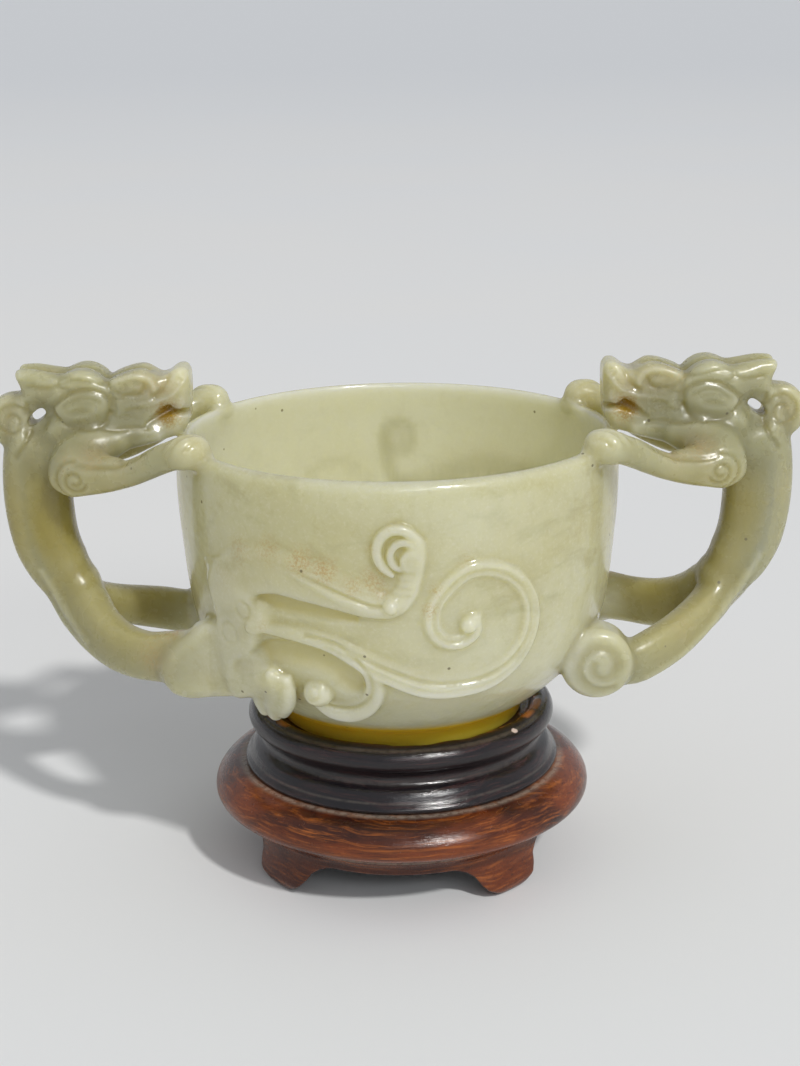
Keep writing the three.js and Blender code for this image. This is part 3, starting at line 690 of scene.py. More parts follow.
def leaning_plate(field, outline, places, front, half_depth, rounding, blend):
    """A rounded plate with an outline in the XZ plane, whose front lies at a Y that changes with X."""
    points = rounded(outline)
    low = (points[:, 0].min() - 3, min(front) - 8, points[:, 1].min() - 3)
    high = (points[:, 0].max() + 3, max(front) + 3, points[:, 1].max() + 3)
    slices, x, y, z = region(low, high)
    side = outline_distance(points, x[:, 0, :], z[0, :, :])[:, None, :] + rounding
    face = (np.abs(y - np.interp(x, places, front) + half_depth) - half_depth) * LEAN_SHARE + rounding
    add(field, slices, rounded_edge(side, face, rounding), blend)


TAIL = [
    (50.5, -24.6, 0.15), (55, -24.5, 0.7), (60, -24.4, 1.1), (66, -24.6, 1.3), (72, -25.3, 1.45),
    (80, -27.7, 1.7), (88, -30.3, 1.9), (97, -32.5, 2.1), (106, -32.9, 2.05), (114.5, -32.1, 1.9),
    (121, -29.4, 1.65), (124.8, -25.0, 1.45), (124.4, -20.6, 1.3), (120.6, -16.7, 1.2), (114, -14.0, 1.2),
    (107, -13.8, 1.2), (101.2, -16.4, 1.2), (98, -20.0, 1.15), (98.4, -23.2, 1.1), (101.4, -25.0, 1.05),
    (105.5, -25.2, 1.05), (108.7, -23.6, 1.1), (108.6, -21.6, 1.0)
]
BRANCH = [
    (77.0, -26.6, 0.9), (80.6, -28.3, 1.1), (83.0, -31.2, 1.3), (82.8, -34.2, 1.5), (79.8, -36.8, 1.8),
    (74.4, -38.2, 2.0), (69.2, -38.0, 1.9), (66.2, -36.4, 1.6)
]
HIND_LEG = [
    (63.5, -13.9, 0.35), (67.8, -14.9, 0.8), (72.4, -16.1, 1.2), (78.3, -17.7, 1.5), (84.0, -18.9, 1.65),
    (88.6, -18.7, 1.8), (91.4, -16.9, 1.7), (92.8, -14.2, 1.7), (93.8, -11.4, 1.6), (94.0, -9.2, 1.4)
]
FINGERS = (
    [
        (94.4, -8.4, 0.8), (91.4, -6.9, 0.85), (88.0, -6.9, 0.85), (85.4, -8.4, 0.85), (84.8, -10.6, 0.8),
        (86.2, -12.6, 0.7), (88.4, -13.8, 0.4)
    ],
    [
        (94.4, -9.6, 0.6), (92.0, -8.7, 0.6), (89.4, -9.0, 0.6), (87.9, -10.6, 0.6), (88.6, -12.2, 0.55),
        (90.2, -13.0, 0.35)
    ],
    [(94.6, -11.0, 0.6), (92.9, -10.4, 0.55), (91.2, -10.9, 0.55), (90.9, -12.1, 0.5), (92.0, -13.1, 0.35)]
)
RECESSES = (
    [
        (47, -29.4, 1.0), (52, -29.0, 2.2), (60, -28.6, 2.7), (68, -28.9, 2.9), (74.5, -30.6, 3.0),
        (77.6, -33.2, 2.3)
    ],
    [
        (53.5, -19.4, 0.9), (57, -19.5, 1.7), (62, -19.4, 2.1), (68, -19.6, 1.9), (74, -20.3, 1.3),
        (79, -21.0, 0.6)
    ]
)
KNUCKLES = 4
THIGH = [
    (36, -20.5, 2.2), (42, -17.8, 3.3), (50, -15.6, 3.8), (58, -14.8, 3.5), (66, -15.3, 3.5),
    (74, -16.6, 3.0), (82, -18.2, 2.3), (87, -18.9, 1.5)
]


def sculpt_relief(field):
    """The flat relief on the wall: the tail, its rolled end and branch, and the far hind leg with its paw."""
    for rows in RECESSES:
        points, widths = wall_rows(rows, 0.5)
        stroke(field, points, widths, 1.15, facing=outward, power=3.0, blend=0.6, cut=True)
    band(field, TAIL, 0.85, power=3.0, blend=0.7)
    band(field, BRANCH, 0.95, power=3.0, blend=0.7)
    wall_groove(field, TAIL[3:-1], 0.42, 0.45, share=0.28)
    wall_groove(field, TAIL[4:14], 0.3, 0.35, share=-0.4)
    wall_groove(field, BRANCH, 0.36, 0.45, share=-0.3)
    wall_ball(field, 66.6, -34.6, 2.4, -0.1)
    curl = wall_circle(66.2, -34.0, np.linspace(1.5, 0.4, 14), np.linspace(4.4, 11.0, 14))
    wall_groove(field, curl, 0.3, 0.3)
    wall_ball(field, 107.0, -22.4, 1.35, 0.3)
    band(field, THIGH, 0.6, power=4.0, blend=0.9)
    band(field, HIND_LEG, 0.95, power=3.0, blend=0.7)
    wall_groove(field, HIND_LEG[:6], 0.36, 0.45, share=0.12)
    wall_ball(field, 88.0, -18.7, 1.2, 0.9)
    for rows in FINGERS:
        band(field, rows, 1.1, blend=0.15)
    for k in range(KNUCKLES):
        height = -16.9 + 1.15 * k
        start, middle, end = 88.6 + 0.5 * k, 90.6 + 0.5 * k, 92.4 + 0.3 * k
        wall_groove(
            field, [(start, height, 1), (middle, height - 0.15, 1), (end, height - 0.2, 1)], 0.2, 0.25
        )


def blurred(field, share=0.5):
    """Softens the field by about a grid step, as polishing does."""
    for axis in range(3):
        before = np.concatenate([field.take([0], axis), field], axis=axis)
        after = np.concatenate([field, field.take([-1], axis)], axis=axis)
        count = field.shape[axis]
        low = before.take(range(count), axis)
        high = after.take(range(1, count + 1), axis)
        field = (1 - share) * field + 0.5 * share * (low + high)
    return field.astype(np.float32)


def sculpt_cup():
    """The whole cup as a field of distances: the bowl, a dragon at each side, and their paws."""
    bowl = turned_distance(bowl_profile())
    field = bowl.copy()
    sculpt_relief(field)
    sculpt_body(field)
    sculpt_scroll(field)
    sculpt_haunch(field)
    sculpt_front_legs(field)
    sculpt_head(field)
    field += (field - bowl)[::-1, ::-1, :]
    field = np.maximum(field, -turned_distance(hollow_profile()))
    for end in (-1, 1):
        for side in (-1, 1):
            sculpt_paw(field, end, side)
    return blurred(np.clip(field, -FAR, FAR), 0.3), bowl


# How many grid steps either side of a place its normal is worked out over.
NORMAL_REACH = 0.8


def field_normals(field, spots):
    """The way out of the stone at points given in grid steps."""
    parts = []
    for axis in range(3):
        shift = np.zeros(3)
        shift[axis] = NORMAL_REACH
        parts.append(sample_field(field, spots + shift) - sample_field(field, spots - shift))
    return unit(np.stack(parts, axis=1))


class Paint:
    """A material's nodes, with short calls that make and link them."""

    def __init__(self, name):
        """Starts a new material with its main shader."""
        self.material = bpy.data.materials.new(name)
        self.material.use_nodes = True
        self.tree = self.material.node_tree
        self.shader = self.tree.nodes["Principled BSDF"]

    def node(self, kind, inputs=None, **settings):
        """A new node with its settings, and its inputs fed with values or with other nodes' outputs."""
        made = self.tree.nodes.new("ShaderNode" + kind)
        for key, value in settings.items():
            setattr(made, key, value)
        for key, value in (inputs or {}).items():
            self.feed(made.inputs[key], value)
        return made

    def feed(self, socket, value):
        """Links another node's output to a socket, or sets the socket's own value."""
        if isinstance(value, bpy.types.NodeSocket):
            self.tree.links.new(value, socket)
        else:
            socket.default_value = value

    def coordinates(self, scale=(1, 1, 1), warp=0.0, warp_scale=60.0):
        """Places in millimetres on the object, stretched by scale and bent by a slow noise."""
        place = self.node("TexCoord").outputs["Object"]
        if warp:
            slow = self.node(
                "TexNoise", {"Vector": place, "Scale": warp_scale, "Detail": 2.0}
            ).outputs["Color"]
            centred = self.node(
                "VectorMath", {0: slow, 1: (0.5, 0.5, 0.5)}, operation="SUBTRACT"
            ).outputs[0]
            bend = self.node("VectorMath", {0: centred, "Scale": warp}, operation="SCALE").outputs[0]
            place = self.node("VectorMath", {0: place, 1: bend}, operation="ADD").outputs[0]
        factors = tuple(1000.0 * s for s in scale)
        return self.node("VectorMath", {0: place, 1: factors}, operation="MULTIPLY").outputs[0]

    def noise(self, where, scale, detail, roughness):
        """A cloudy pattern between 0 and 1."""
        inputs = {"Vector": where, "Scale": scale, "Detail": detail, "Roughness": roughness}
        return self.node("TexNoise", inputs).outputs["Fac"]

    def ramp(self, value, low, high, start=0.0, end=1.0):
        """Turns a value that runs from low to high into one from start to end, clamped and eased."""
        inputs = {"Value": value, "From Min": low, "From Max": high, "To Min": start, "To Max": end}
        return self.node("MapRange", inputs, interpolation_type="SMOOTHSTEP").outputs["Result"]

    def maths(self, operation, a, b=0.0):
        """A sum on two values."""
        return self.node("Math", {0: a, 1: b}, operation=operation).outputs[0]

    def times(self, a, b):
        """Two values multiplied."""
        return self.maths("MULTIPLY", a, b)

    def mix(self, amount, a, b):
        """Colour a, turned towards colour b by an amount."""
        made = self.node("Mix", None, data_type="RGBA")
        self.feed(made.inputs[0], amount)
        self.feed(made.inputs[6], a if isinstance(a, bpy.types.NodeSocket) else (*a, 1))
        self.feed(made.inputs[7], b if isinstance(b, bpy.types.NodeSocket) else (*b, 1))
        return made.outputs[2]

    def mask(self, name):
        """The number that each vertex carries under a name."""
        return self.node("Attribute", None, attribute_name=name, attribute_type="GEOMETRY").outputs["Fac"]

    def bump(self, height, distance, strength=1.0, normal=None):
        """Fine unevenness of the surface, laid over an earlier one if there is one."""
        inputs = {"Height": height, "Distance": distance, "Strength": strength}
        if normal is not None:
            inputs["Normal"] = normal
        return self.node("Bump", inputs).outputs["Normal"]


CELADON = (0.485, 0.475, 0.33)
CELADON_WARM = (0.42, 0.396, 0.235)
MILK = (0.62, 0.615, 0.49)
BLUSH = (0.41, 0.335, 0.20)
OLIVE = (0.24, 0.234, 0.125)
OLIVE_WARM = (0.325, 0.282, 0.095)
OLIVE_DEEP = (0.25, 0.205, 0.03)
MOTTLE = (0.32, 0.285, 0.14)
HOLLOW = (0.50, 0.44, 0.21)
# Painted glow at the foot, as if light came through the stone and off the wood below.
AMBER_GLOW = (0.74, 0.49, 0.035)
RUSSET = (0.38, 0.245, 0.09)
DARK_SKIN = (0.27, 0.165, 0.014)
PIT = (0.09, 0.075, 0.04)


# Masks that tint the stone, in the order they are laid over it: how strongly, and with which colour.
LIMB_TINTS = (("limb", 0.82, OLIVE), ("core", 0.6, OLIVE_WARM))
# Pale lies on raised relief and, as a painted highlight, along sharp edges.
RELIEF_TINTS = (
    ("pale", 0.42, MILK), ("hollow", 0.7, HOLLOW), ("seam", 0.45, OLIVE_WARM), ("milky", 0.7, MILK)
)
# Inside is painted light on the bowl's inner wall and floor, shade is the painted shadow of the relief seen
# through the wall, and amber is a painted glow at the foot.
INSIDE_TINTS = (("inside", 0.6, MILK), ("shade", 0.42, OLIVE), ("amber", 1.0, AMBER_GLOW))


def tinted(paint, colour, tints):
    """The colour with each mask's tint laid over it."""
    for name, amount, tint in tints:
        colour = paint.mix(paint.times(paint.mask(name), amount), colour, tint)
    return colour


def jade_material():
    """Waxy celadon jade: pale where it stands proud, with painted highlights on sharp edges, olive deep down
    with painted shade on the left, russet in its seams, a painted amber glow at the foot and painted light
    inside the bowl.
    """
    paint = Paint("jade")
    where = paint.coordinates()
    bent = paint.coordinates(warp=0.012)
    clouds = paint.noise(bent, 0.035, 4.0, 0.55)
    colour = paint.mix(paint.ramp(clouds, 0.32, 0.68), CELADON, CELADON_WARM)
    flecks = paint.noise(where, 1.6, 4.0, 0.7)
    colour = paint.mix(paint.ramp(flecks, 0.48, 0.72, 0.0, 0.22), colour, MILK)
    veins = paint.noise(paint.coordinates((1, 1, 2.4), warp=0.02, warp_scale=35.0), 0.09, 5.0, 0.6)
    colour = paint.mix(paint.ramp(veins, 0.52, 0.72, 0.0, 0.35), colour, OLIVE)
    colour = tinted(paint, colour, LIMB_TINTS)
    mottle = paint.noise(paint.coordinates(warp=0.004, warp_scale=120.0), 0.42, 5.0, 0.68)
    colour = paint.mix(paint.ramp(mottle, 0.46, 0.76, 0.0, 0.36), colour, MOTTLE)
    uneven = paint.times(paint.maths("SUBTRACT", clouds, 0.5), 0.5)
    # Deep olive in blotches, laid on heavier on the left grip and the bowl's left edge as painted shade.
    olive = paint.ramp(paint.maths("ADD", paint.mask("olive"), uneven), 0.05, 1.0)
    colour = paint.mix(olive, colour, OLIVE_DEEP)
    colour = tinted(paint, colour, RELIEF_TINTS)
    blush = paint.times(paint.mask("blush"), paint.ramp(flecks, 0.35, 0.65, 0.35, 1.0))
    colour = paint.mix(paint.times(blush, 0.5), colour, BLUSH)
    colour = tinted(paint, colour, INSIDE_TINTS)
    grit = paint.noise(where, 2.4, 4.0, 0.75)
    russet = paint.ramp(
        paint.times(paint.mask("russet"), paint.ramp(grit, 0.3, 0.66)), 0.05, 0.9, 0.0, 0.75
    )
    colour = paint.mix(russet, colour, RUSSET)
    dark = paint.ramp(paint.times(paint.mask("dark"), paint.ramp(grit, 0.3, 0.6, 0.6, 1.0)), 0.2, 0.85)
    colour = paint.mix(dark, colour, DARK_SKIN)
    specks = paint.node(
        "TexVoronoi", {"Vector": where, "Scale": 0.17, "Randomness": 1.0}, feature="F1"
    ).outputs["Distance"]
    colour = paint.mix(paint.ramp(specks, 0.055, 0.03, 0.0, 0.75), colour, PIT)
    shader = paint.shader
    paint.feed(shader.inputs["Base Color"], colour)
    shader.inputs["Subsurface Weight"].default_value = 1.0
    shader.inputs["Subsurface Radius"].default_value = (1.0, 0.93, 0.55)
    shader.inputs["Subsurface Scale"].default_value = 0.013
    shader.inputs["IOR"].default_value = 1.52
    wax = paint.noise(where, 0.25, 3.0, 0.6)
    rough = paint.ramp(wax, 0.3, 0.7, 0.11, 0.22)
    paint.feed(shader.inputs["Roughness"], paint.maths("ADD", rough, paint.times(paint.mask("limb"), 0.11)))
    waves = paint.noise(where, 0.28, 2.0, 0.5)
    grain = paint.noise(where, 2.2, 3.0, 0.6)
    normal = paint.bump(waves, 0.00012)
    tooled = paint.times(grain, paint.maths("ADD", 1.0, paint.times(paint.mask("limb"), 1.6)))
    paint.feed(shader.inputs["Normal"], paint.bump(tooled, 0.000012, normal=normal))
    return paint.material


def blotches(places, rows):
    """How much each place lies in soft round blotches, from rows of x, y, z, radius and amount."""
    total = np.zeros(len(places))
    for x, y, z, radius, amount in rows:
        gap = ((places - np.array([x, y, z])) ** 2).sum(axis=1)
        total = np.maximum(total, amount * np.exp(-gap / (radius * radius)))
    return np.minimum(total, 1)


def both_ends(rows):
    """The same blotches on both dragons, half a turn apart."""
    return rows + [(-x, -y, z, radius, amount) for x, y, z, radius, amount in rows]


RUSSET_PLACES = both_ends(
    [
        (36.5, 3.5, 3.6, 2.6, 1.0), (36.5, -3.5, 3.6, 2.6, 1.0), (34.0, 0, 2.6, 2.4, 0.9),
        (38.0, 4.0, 8.6, 3.0, 0.45), (44.5, -4.2, 9.6, 3.0, 0.5), (47.5, -10.5, -1.4, 3.6, 0.55),
        (43.0, -12.5, -1.8, 3.0, 0.5), (44.2, -8.5, -1.4, 1.7, 1.0), (52.5, 10.0, -2.6, 3.0, 0.45),
        (48, 10.5, -2.0, 3.4, 0.5), (38.5, 15.0, -30.0, 3.0, 0.5), (36.0, 14.5, -29.5, 2.6, 0.8),
        (39.5, 15.2, -33.5, 3.4, 0.6), (38.5, 14.0, -37.5, 2.2, 0.55), (36.4, 18.8, -28.6, 2.2, 0.4),
        (46.0, -11.4, -31.2, 3.0, 0.35), (50.8, -8.4, -28.4, 3.2, 0.3), (29.5, -14.6, -31.6, 2.0, 0.8),
    ]
)
WALL_RUSSET = [
    (48, -12.4, 3.4, 0.5), (57, -11.2, 3.2, 0.55), (66, -12.4, 2.6, 0.85), (72, -13.4, 2.4, 0.85),
    (79, -15.6, 2.2, 0.6), (84, -14.6, 2.4, 0.8), (42, -17.5, 4.0, 0.35), (97.4, -19.5, 1.6, 0.7),
    (98.6, -16.4, 1.5, 0.6), (106, -11.8, 2.0, 0.45), (85.5, -16.4, 1.6, 0.6), (54, -24.0, 1.6, 0.55),
    (88, -6.4, 1.5, 0.35), (83.6, -9.6, 1.4, 0.5)
]
DARK_PLACES = both_ends(
    [
        (35.3, 0.0, 3.2, 2.2, 1.0), (37.0, 3.0, 3.6, 2.2, 1.0), (37.0, -3.0, 3.6, 2.2, 1.0),
        (44.2, -8.2, -1.5, 1.2, 0.9), (29.9, -13.8, -32.0, 1.3, 0.9), (35.2, 14.6, -30.4, 1.1, 0.7)
    ]
)
# Deep olive of the stone, with the blotches on the left grip and the bowl's left edge heavier as painted
# shade.
OLIVE_AND_SHADE_PLACES = [
    (-59.0, 0, -14.0, 11.0, 1.0), (-58.0, 0, -22.0, 7.5, 0.75), (-52.0, 0, 1.0, 9.0, 0.35),
    (-35.0, -6.0, -12.0, 9.0, 0.55), (-34.5, -8.0, -24.0, 7.0, 0.45), (55.0, 0, -13.0, 7.0, 0.75),
    (52.5, 0, -22.0, 6.0, 0.6), (45.0, 10.0, -31.0, 8.0, 0.65), (-45.0, 9.0, -31.0, 8.0, 0.45),
    (34.5, -6.0, -20.0, 6.0, 0.35), (48, 0, 6, 8, 0.3), (-45, 0, 1.0, 5, 0.55), (-44, -12, -30.0, 5.5, 0.25)
]


BLUSH_PLACES = both_ends(
    [
        (40.0, -4.4, 8.6, 4.2, 0.7), (40.0, 4.4, 8.6, 4.2, 0.6), (36.6, -3.8, 7.6, 2.6, 0.8),
        (36.6, 3.8, 7.6, 2.6, 0.8), (62.6, 0, 2.4, 4.6, 0.6), (43.0, -12.6, -1.4, 4.2, 0.7),
        (43.0, 12.6, -1.4, 4.2, 0.7), (47.4, -9.6, -1.8, 3.6, 0.8), (47.4, 9.6, -1.8, 3.6, 0.8),
        (61.4, 0, -9.0, 5.0, 0.35), (37.6, 16.6, -33.8, 3.6, 0.5), (55.0, 0, 8.4, 3.6, 0.4),
        (32.4, 17.4, 0.6, 3.4, 0.4), (34.0, 13.0, -29.5, 3.4, 0.6), (35.5, -9.0, -4.0, 4.5, 0.5),
        (58.0, 3.0, -1.6, 3.4, 0.4), (44.0, 3.0, -1.0, 4.0, 0.35),
    ]
)
MILKY_PLACES = both_ends(
    [
        (6.0, -28.0, -36.0, 13.0, 0.8), (2.0, -34.0, -20.0, 12.0, 0.45), (14.0, -32.0, -8.0, 9.0, 0.35),
        (24.0, -22.0, -34.0, 8.0, 0.6)
    ]
)


def far_side(places, soft):
    """For the inside of the wall, how much relief stands on the outside behind each place, painted as its
    shadow seen through the wall.
    """
    radius = np.maximum(np.hypot(places[:, 0], places[:, 1]), 1e-3)
    behind = places.copy()
    reach = (wall_radius(np.minimum(places[:, 2], -0.1)) + 0.4) / radius
    behind[:, 0] *= reach
    behind[:, 1] *= reach
    return np.clip(0.2 - 2.0 * sample_field(soft, grid_spots(behind)), 0, 1)


def loop_core(places):
    """1 along the inner edge of each handle's loop, fading outwards over about 7 mm."""
    across = np.abs(places[:, 0]) - 44.0
    down = (places[:, 2] + 14.0) * 0.66
    depth = fade(np.hypot(across, down), 10.2, 17.0)
    below_the_head = fade(places[:, 2], -3.0, -7.0)
    clear_of_the_wall = fade(np.hypot(places[:, 0], places[:, 1]), 36.5, 40.5)
    return (1 - depth * depth * (3 - 2 * depth)) * below_the_head * clear_of_the_wall


def cup_masks(places, normals, rise, sharpness, relief_behind):
    """The stone's colour masks at each vertex, from its place in millimetres with heights from the rim."""
    radius = np.hypot(places[:, 0], places[:, 1])
    height = places[:, 2]
    inwards = np.clip(-2.5 * (normals[:, :2] * places[:, :2]).sum(axis=1) / np.maximum(radius, 1.0), 0, 1)
    inwards = inwards * (radius < RIM_RADIUS) * fade(height, 0.8, -0.2)
    bottom = fade(normals[:, 2], 0.0, 0.5) * fade(height, -30.0, -36.0) * (height > -45.5) * (radius < 33.0)
    outside = (inwards < 0.3) & (bottom < 0.3)
    on_the_wall = (radius < 39.0) & (height < -3.0) & outside
    pale = np.where(on_the_wall, fade(rise, 0.15, 1.15) * fade(rise, 2.2, 1.2), 0.0)
    # Painted highlight: sharp convex edges are made pale too.
    pale = np.maximum(pale, 0.75 * np.clip(sharpness * 1.4, 0, 1) * (height < 12))
    pale = pale * np.where((height > -2.5) & (radius < 37.5), 0.4, 1.0)
    scroll = blotches(places, both_ends([(31.3, -16.5, -35.0, 6.5, 1.0)]))
    hollow = np.where(on_the_wall, np.clip(-rise * 2.0 - 0.1, 0, 1), 0.0)
    seam = np.clip(-sharpness * 1.6 - 0.1, 0, 1)
    # Painted glow: the foot gets a bright amber, as if light came through the stone and off the wood below.
    amber = fade(height, -42.6, -44.0) * (1 - np.maximum(inwards, bottom))
    forearm = fade(radius, 34.0, 38.0) * fade(height, -9.5, -7.5) * fade(height, 2.5, 0.5)
    limb = 0.16 * forearm + np.maximum(fade(radius, 36.5, 41.5), 0.65 * np.clip(1.6 * scroll, 0, 1))
    wall_spots = []
    for degrees, level, size, amount in WALL_RUSSET:
        x, y, z = on_wall(degrees, level, 0.4)
        wall_spots.append((x, y, z, size, amount))
    return {
        "pale": pale,
        # Painted light: the inside of the bowl and its floor are made paler, to make up for the light they
        # lack.
        "inside": np.maximum(inwards, bottom),
        # Painted shadow of the relief on the outside, seen through the wall.
        "shade": relief_behind * inwards * fade(height, -1.0, -2.0) * fade(radius, 24.0, 29.0),
        "hollow": hollow,
        "seam": seam,
        "milky": blotches(places, MILKY_PLACES) * on_the_wall,
        "blush": blotches(places, BLUSH_PLACES),
        "amber": amber,
        "olive": blotches(places, OLIVE_AND_SHADE_PLACES),
        "limb": limb,
        "core": loop_core(places),
        "russet": blotches(places, RUSSET_PLACES + both_ends(wall_spots)),
        "dark": blotches(places, DARK_PLACES),
    }


def add_mesh(name, vertices, faces, body, material):
    """A smooth mesh object in metres from points in metres, riding on a body."""
    mesh = bpy.data.meshes.new(name)
    mesh.from_pydata([tuple(v) for v in vertices], [], [tuple(f) for f in faces])
    mesh.polygons.foreach_set("use_smooth", [True] * len(mesh.polygons))
    mesh.materials.append(material)
    piece = bpy.data.objects.new(name, mesh)
    bpy.context.scene.collection.objects.link(piece)
    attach(piece, body)
    return piece


def mesh_of_field(field, origin, step):
    """Points in millimetres and faces of the surface where a field of distances is zero."""
    grid = openvdb.FloatGrid(FAR)
    grid.copyFromArray(field)
    points, triangles, quads = grid.convertToPolygons(isovalue=0.0, adaptivity=0.0)
    faces = [tuple(f) for f in triangles] + [tuple(f) for f in quads]
    return np.asarray(points, float) * step + np.asarray(origin, float), faces


CUP_MOST_TRIANGLES = 196000
FEET_MOST_TRIANGLES = 60000


def thin_out(piece, most_triangles):
    """Drops the triangles that the shape needs least."""
    triangles = sum(len(p.vertices) - 2 for p in piece.data.polygons)
    if triangles <= most_triangles:
        return
    modifier = piece.modifiers.new("thin", "DECIMATE")
    modifier.ratio = most_triangles / triangles
    graph = bpy.context.evaluated_depsgraph_get()
    mesh = bpy.data.meshes.new_from_object(piece.evaluated_get(graph), depsgraph=graph)
    piece.modifiers.clear()
    old = piece.data
    piece.data = mesh
    bpy.data.meshes.remove(old)
    mesh.polygons.foreach_set("use_smooth", [True] * len(mesh.polygons))


def vertex_places(mesh):
    """The places of a mesh's vertices, one row each."""
    places = np.zeros(len(mesh.vertices) * 3, np.float32)
    mesh.vertices.foreach_get("co", places)
    return places.reshape(-1, 3).astype(float)


def set_mask(mesh, name, values):
    """Gives a mesh one number for each vertex, for its material to read."""
    attribute = mesh.attributes.new(name, "FLOAT", "POINT")
    attribute.data.foreach_set("value", np.asarray(values, np.float32))


def cup_piece(material):
    """Turns the sculpted field into the jade cup's mesh, with its colour masks."""
    field, bowl = sculpt_cup()
    points, faces = mesh_of_field(field, GRID_ORIGIN, STEP)
    lift = RIM_LEVEL * UP
    piece = add_mesh("jade_cup_carving", (points + lift) * MM, faces, "cup", material)
    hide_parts("jade_cup")
    thin_out(piece, CUP_MOST_TRIANGLES)
    places = vertex_places(piece.data) / MM - lift
    spots = grid_spots(places)
    normals = field_normals(field, spots)
    piece.data.normals_split_custom_set_from_vertices(normals.tolist())
    soft = field
    for _ in range(8):
        soft = blurred(soft)
    behind = far_side(places, soft)
    masks = cup_masks(places, normals, sample_field(bowl, spots), sample_field(soft, spots) / 0.35, behind)
    for name, values in masks.items():
        set_mask(piece.data, name, values)
    return piece


SEAT_PROFILE = [
    (0, 26.1), (15, 26.1), (21.5, 26.1), (21.85, 26.25), (21.95, 26.6), (22.1, 27.2), (22.35, 27.75),
    (22.8, 28.03), (23.4, 28.08), (23.9, 27.95), (24.25, 27.68), (24.42, 27.42), (24.55, 27.4),
    (24.75, 27.5), (25.15, 27.3), (25.6, 26.75), (25.85, 26.05), (25.9, 25.4), (25.75, 24.7), (25.4, 24.15),
    (24.9, 23.8), (24.35, 23.65), (23.95, 23.45), (23.65, 22.95), (23.5, 22.3), (23.5, 21.75),
    (23.6, 21.35), (23.85, 21.1), (24.35, 20.95), (24.9, 20.65), (25.3, 20.1), (25.5, 19.5), (25.62, 19.0),
    (25.85, 18.62), (26.25, 18.38), (26.55, 18.1), (26.65, 17.75), (26.5, 17.45), (26.2, 17.3), (22, 17.3),
    (15, 17.3), (15, 16.5), (15, 13.8), (8, 13.8), (0, 13.8),
]
DRUM_PROFILE = [
    (0, 13.6), (8, 13.6), (15.3, 13.6), (15.3, 16.5), (15.3, 17.28), (20, 17.28), (26.2, 17.28),
    (26.8, 17.2), (27.1, 17.22), (27.6, 17.2), (28.4, 16.95), (29.4, 16.4), (30.4, 15.6), (31.2, 14.7),
    (31.7, 13.8), (31.88, 13.0), (31.75, 12.2), (31.2, 11.45), (30.4, 10.9), (29.3, 10.4), (28.2, 10.05),
    (27.2, 9.8), (26.6, 9.55), (26.4, 9.25), (26.1, 9.1), (22, 9.1), (18.2, 9.1), (18.2, 6.0), (18.2, 3.2),
    (9, 3.0), (0, 3.0),
]


# How finely turned pieces are divided: round the axis, and along the outline in millimetres.
SEGMENTS = 240
PROFILE_STEP = 0.45


def turned_piece(name, profile, body, material, node, wobble):
    """A turned piece of wood with fine steps, slightly uneven as hand work and wear leave it."""
    outline = np.array(profile, float)
    segments = SEGMENTS
    dense = [outline[0]]
    for a, b in zip(outline[:-1], outline[1:]):
        count = max(1, int(np.linalg.norm(b - a) / PROFILE_STEP))
        dense += [a + (b - a) * (i + 1) / count for i in range(count)]
    dense = np.array(dense)
    for _ in range(2):
        dense[2:-2] = 0.5 * dense[2:-2] + 0.25 * (dense[1:-3] + dense[3:-1])
    angles = np.arange(segments) * 2 * math.pi / segments
    r = dense[1:-1, 0][:, None] + 0 * angles
    z = dense[1:-1, 1][:, None] + 0 * angles
    r, z = wobble(r, z, angles[None, :])
    rings = np.stack([r * np.cos(angles), r * np.sin(angles), z], axis=2).reshape(-1, 3)
    top, low = len(rings), len(rings) + 1
    vertices = np.concatenate([rings, [[0, 0, dense[0, 1]], [0, 0, dense[-1, 1]]]])
    faces = []
    rows = len(dense) - 2
    for i in range(rows - 1):
        for j in range(segments):
            k = (j + 1) % segments
            faces.append(
                (i * segments + j, (i + 1) * segments + j, (i + 1) * segments + k, i * segments + k)
            )
    for j in range(segments):
        k = (j + 1) % segments
        faces.append((top, j, k))
        faces.append((low, (rows - 1) * segments + k, (rows - 1) * segments + j))
    piece = add_mesh(name, vertices * MM, faces, body, material)
    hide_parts(node)
    return piece


def ripple(angles, waves, seed):
    """A slow uneven line round the axis, between about -1 and 1, the same each run."""
    total = 0
    for k in range(1, waves + 1):
        total = total + math.sin(seed * 12.9 + k * 78.2) * np.sin(k * angles + seed * 3.1 + k * k) / k**0.6
    return total / 1.6


def peaks(angles, waves, seed, level):
    """How far the uneven line round the axis rises above a level."""
    return np.clip(ripple(angles, waves, seed) - level, 0, 1)


def hump(value, centre, width):
    """1 at centre, falling away smoothly over about width either side."""
    return np.exp(-(((value - centre) / width) ** 2))


def worn_seat(r, z, angles):
    """The recess's lip is chipped, and the bead has been knocked here and there."""
    lip = hump(r, 22.6, 0.9) * (z > 27.2)
    nicks = peaks(angles, 26, 1.7, 0.45)
    z = z - lip * nicks * 0.55
    r = r + lip * nicks * 0.25
    dents = peaks(angles, 22, 4.4, 0.75) * hump(z, 26.6, 0.7) * (r > 24.6)
    r = r - dents * 0.35
    return r + 0.04 * ripple(angles, 5, 2.2) * (r > 22), z


def worn_drum(r, z, angles):
    """The drum is a little out of round, with a dent or two."""
    dents = peaks(angles, 17, 7.7, 0.7) * hump(z, 12.6, 2.2) * (r > 27)
    return r + (0.06 * ripple(angles, 4, 3.3) - 0.12 * dents) * (r > 25), z


FOOT_STEP = 0.22
FOOT_TURN = -4.4
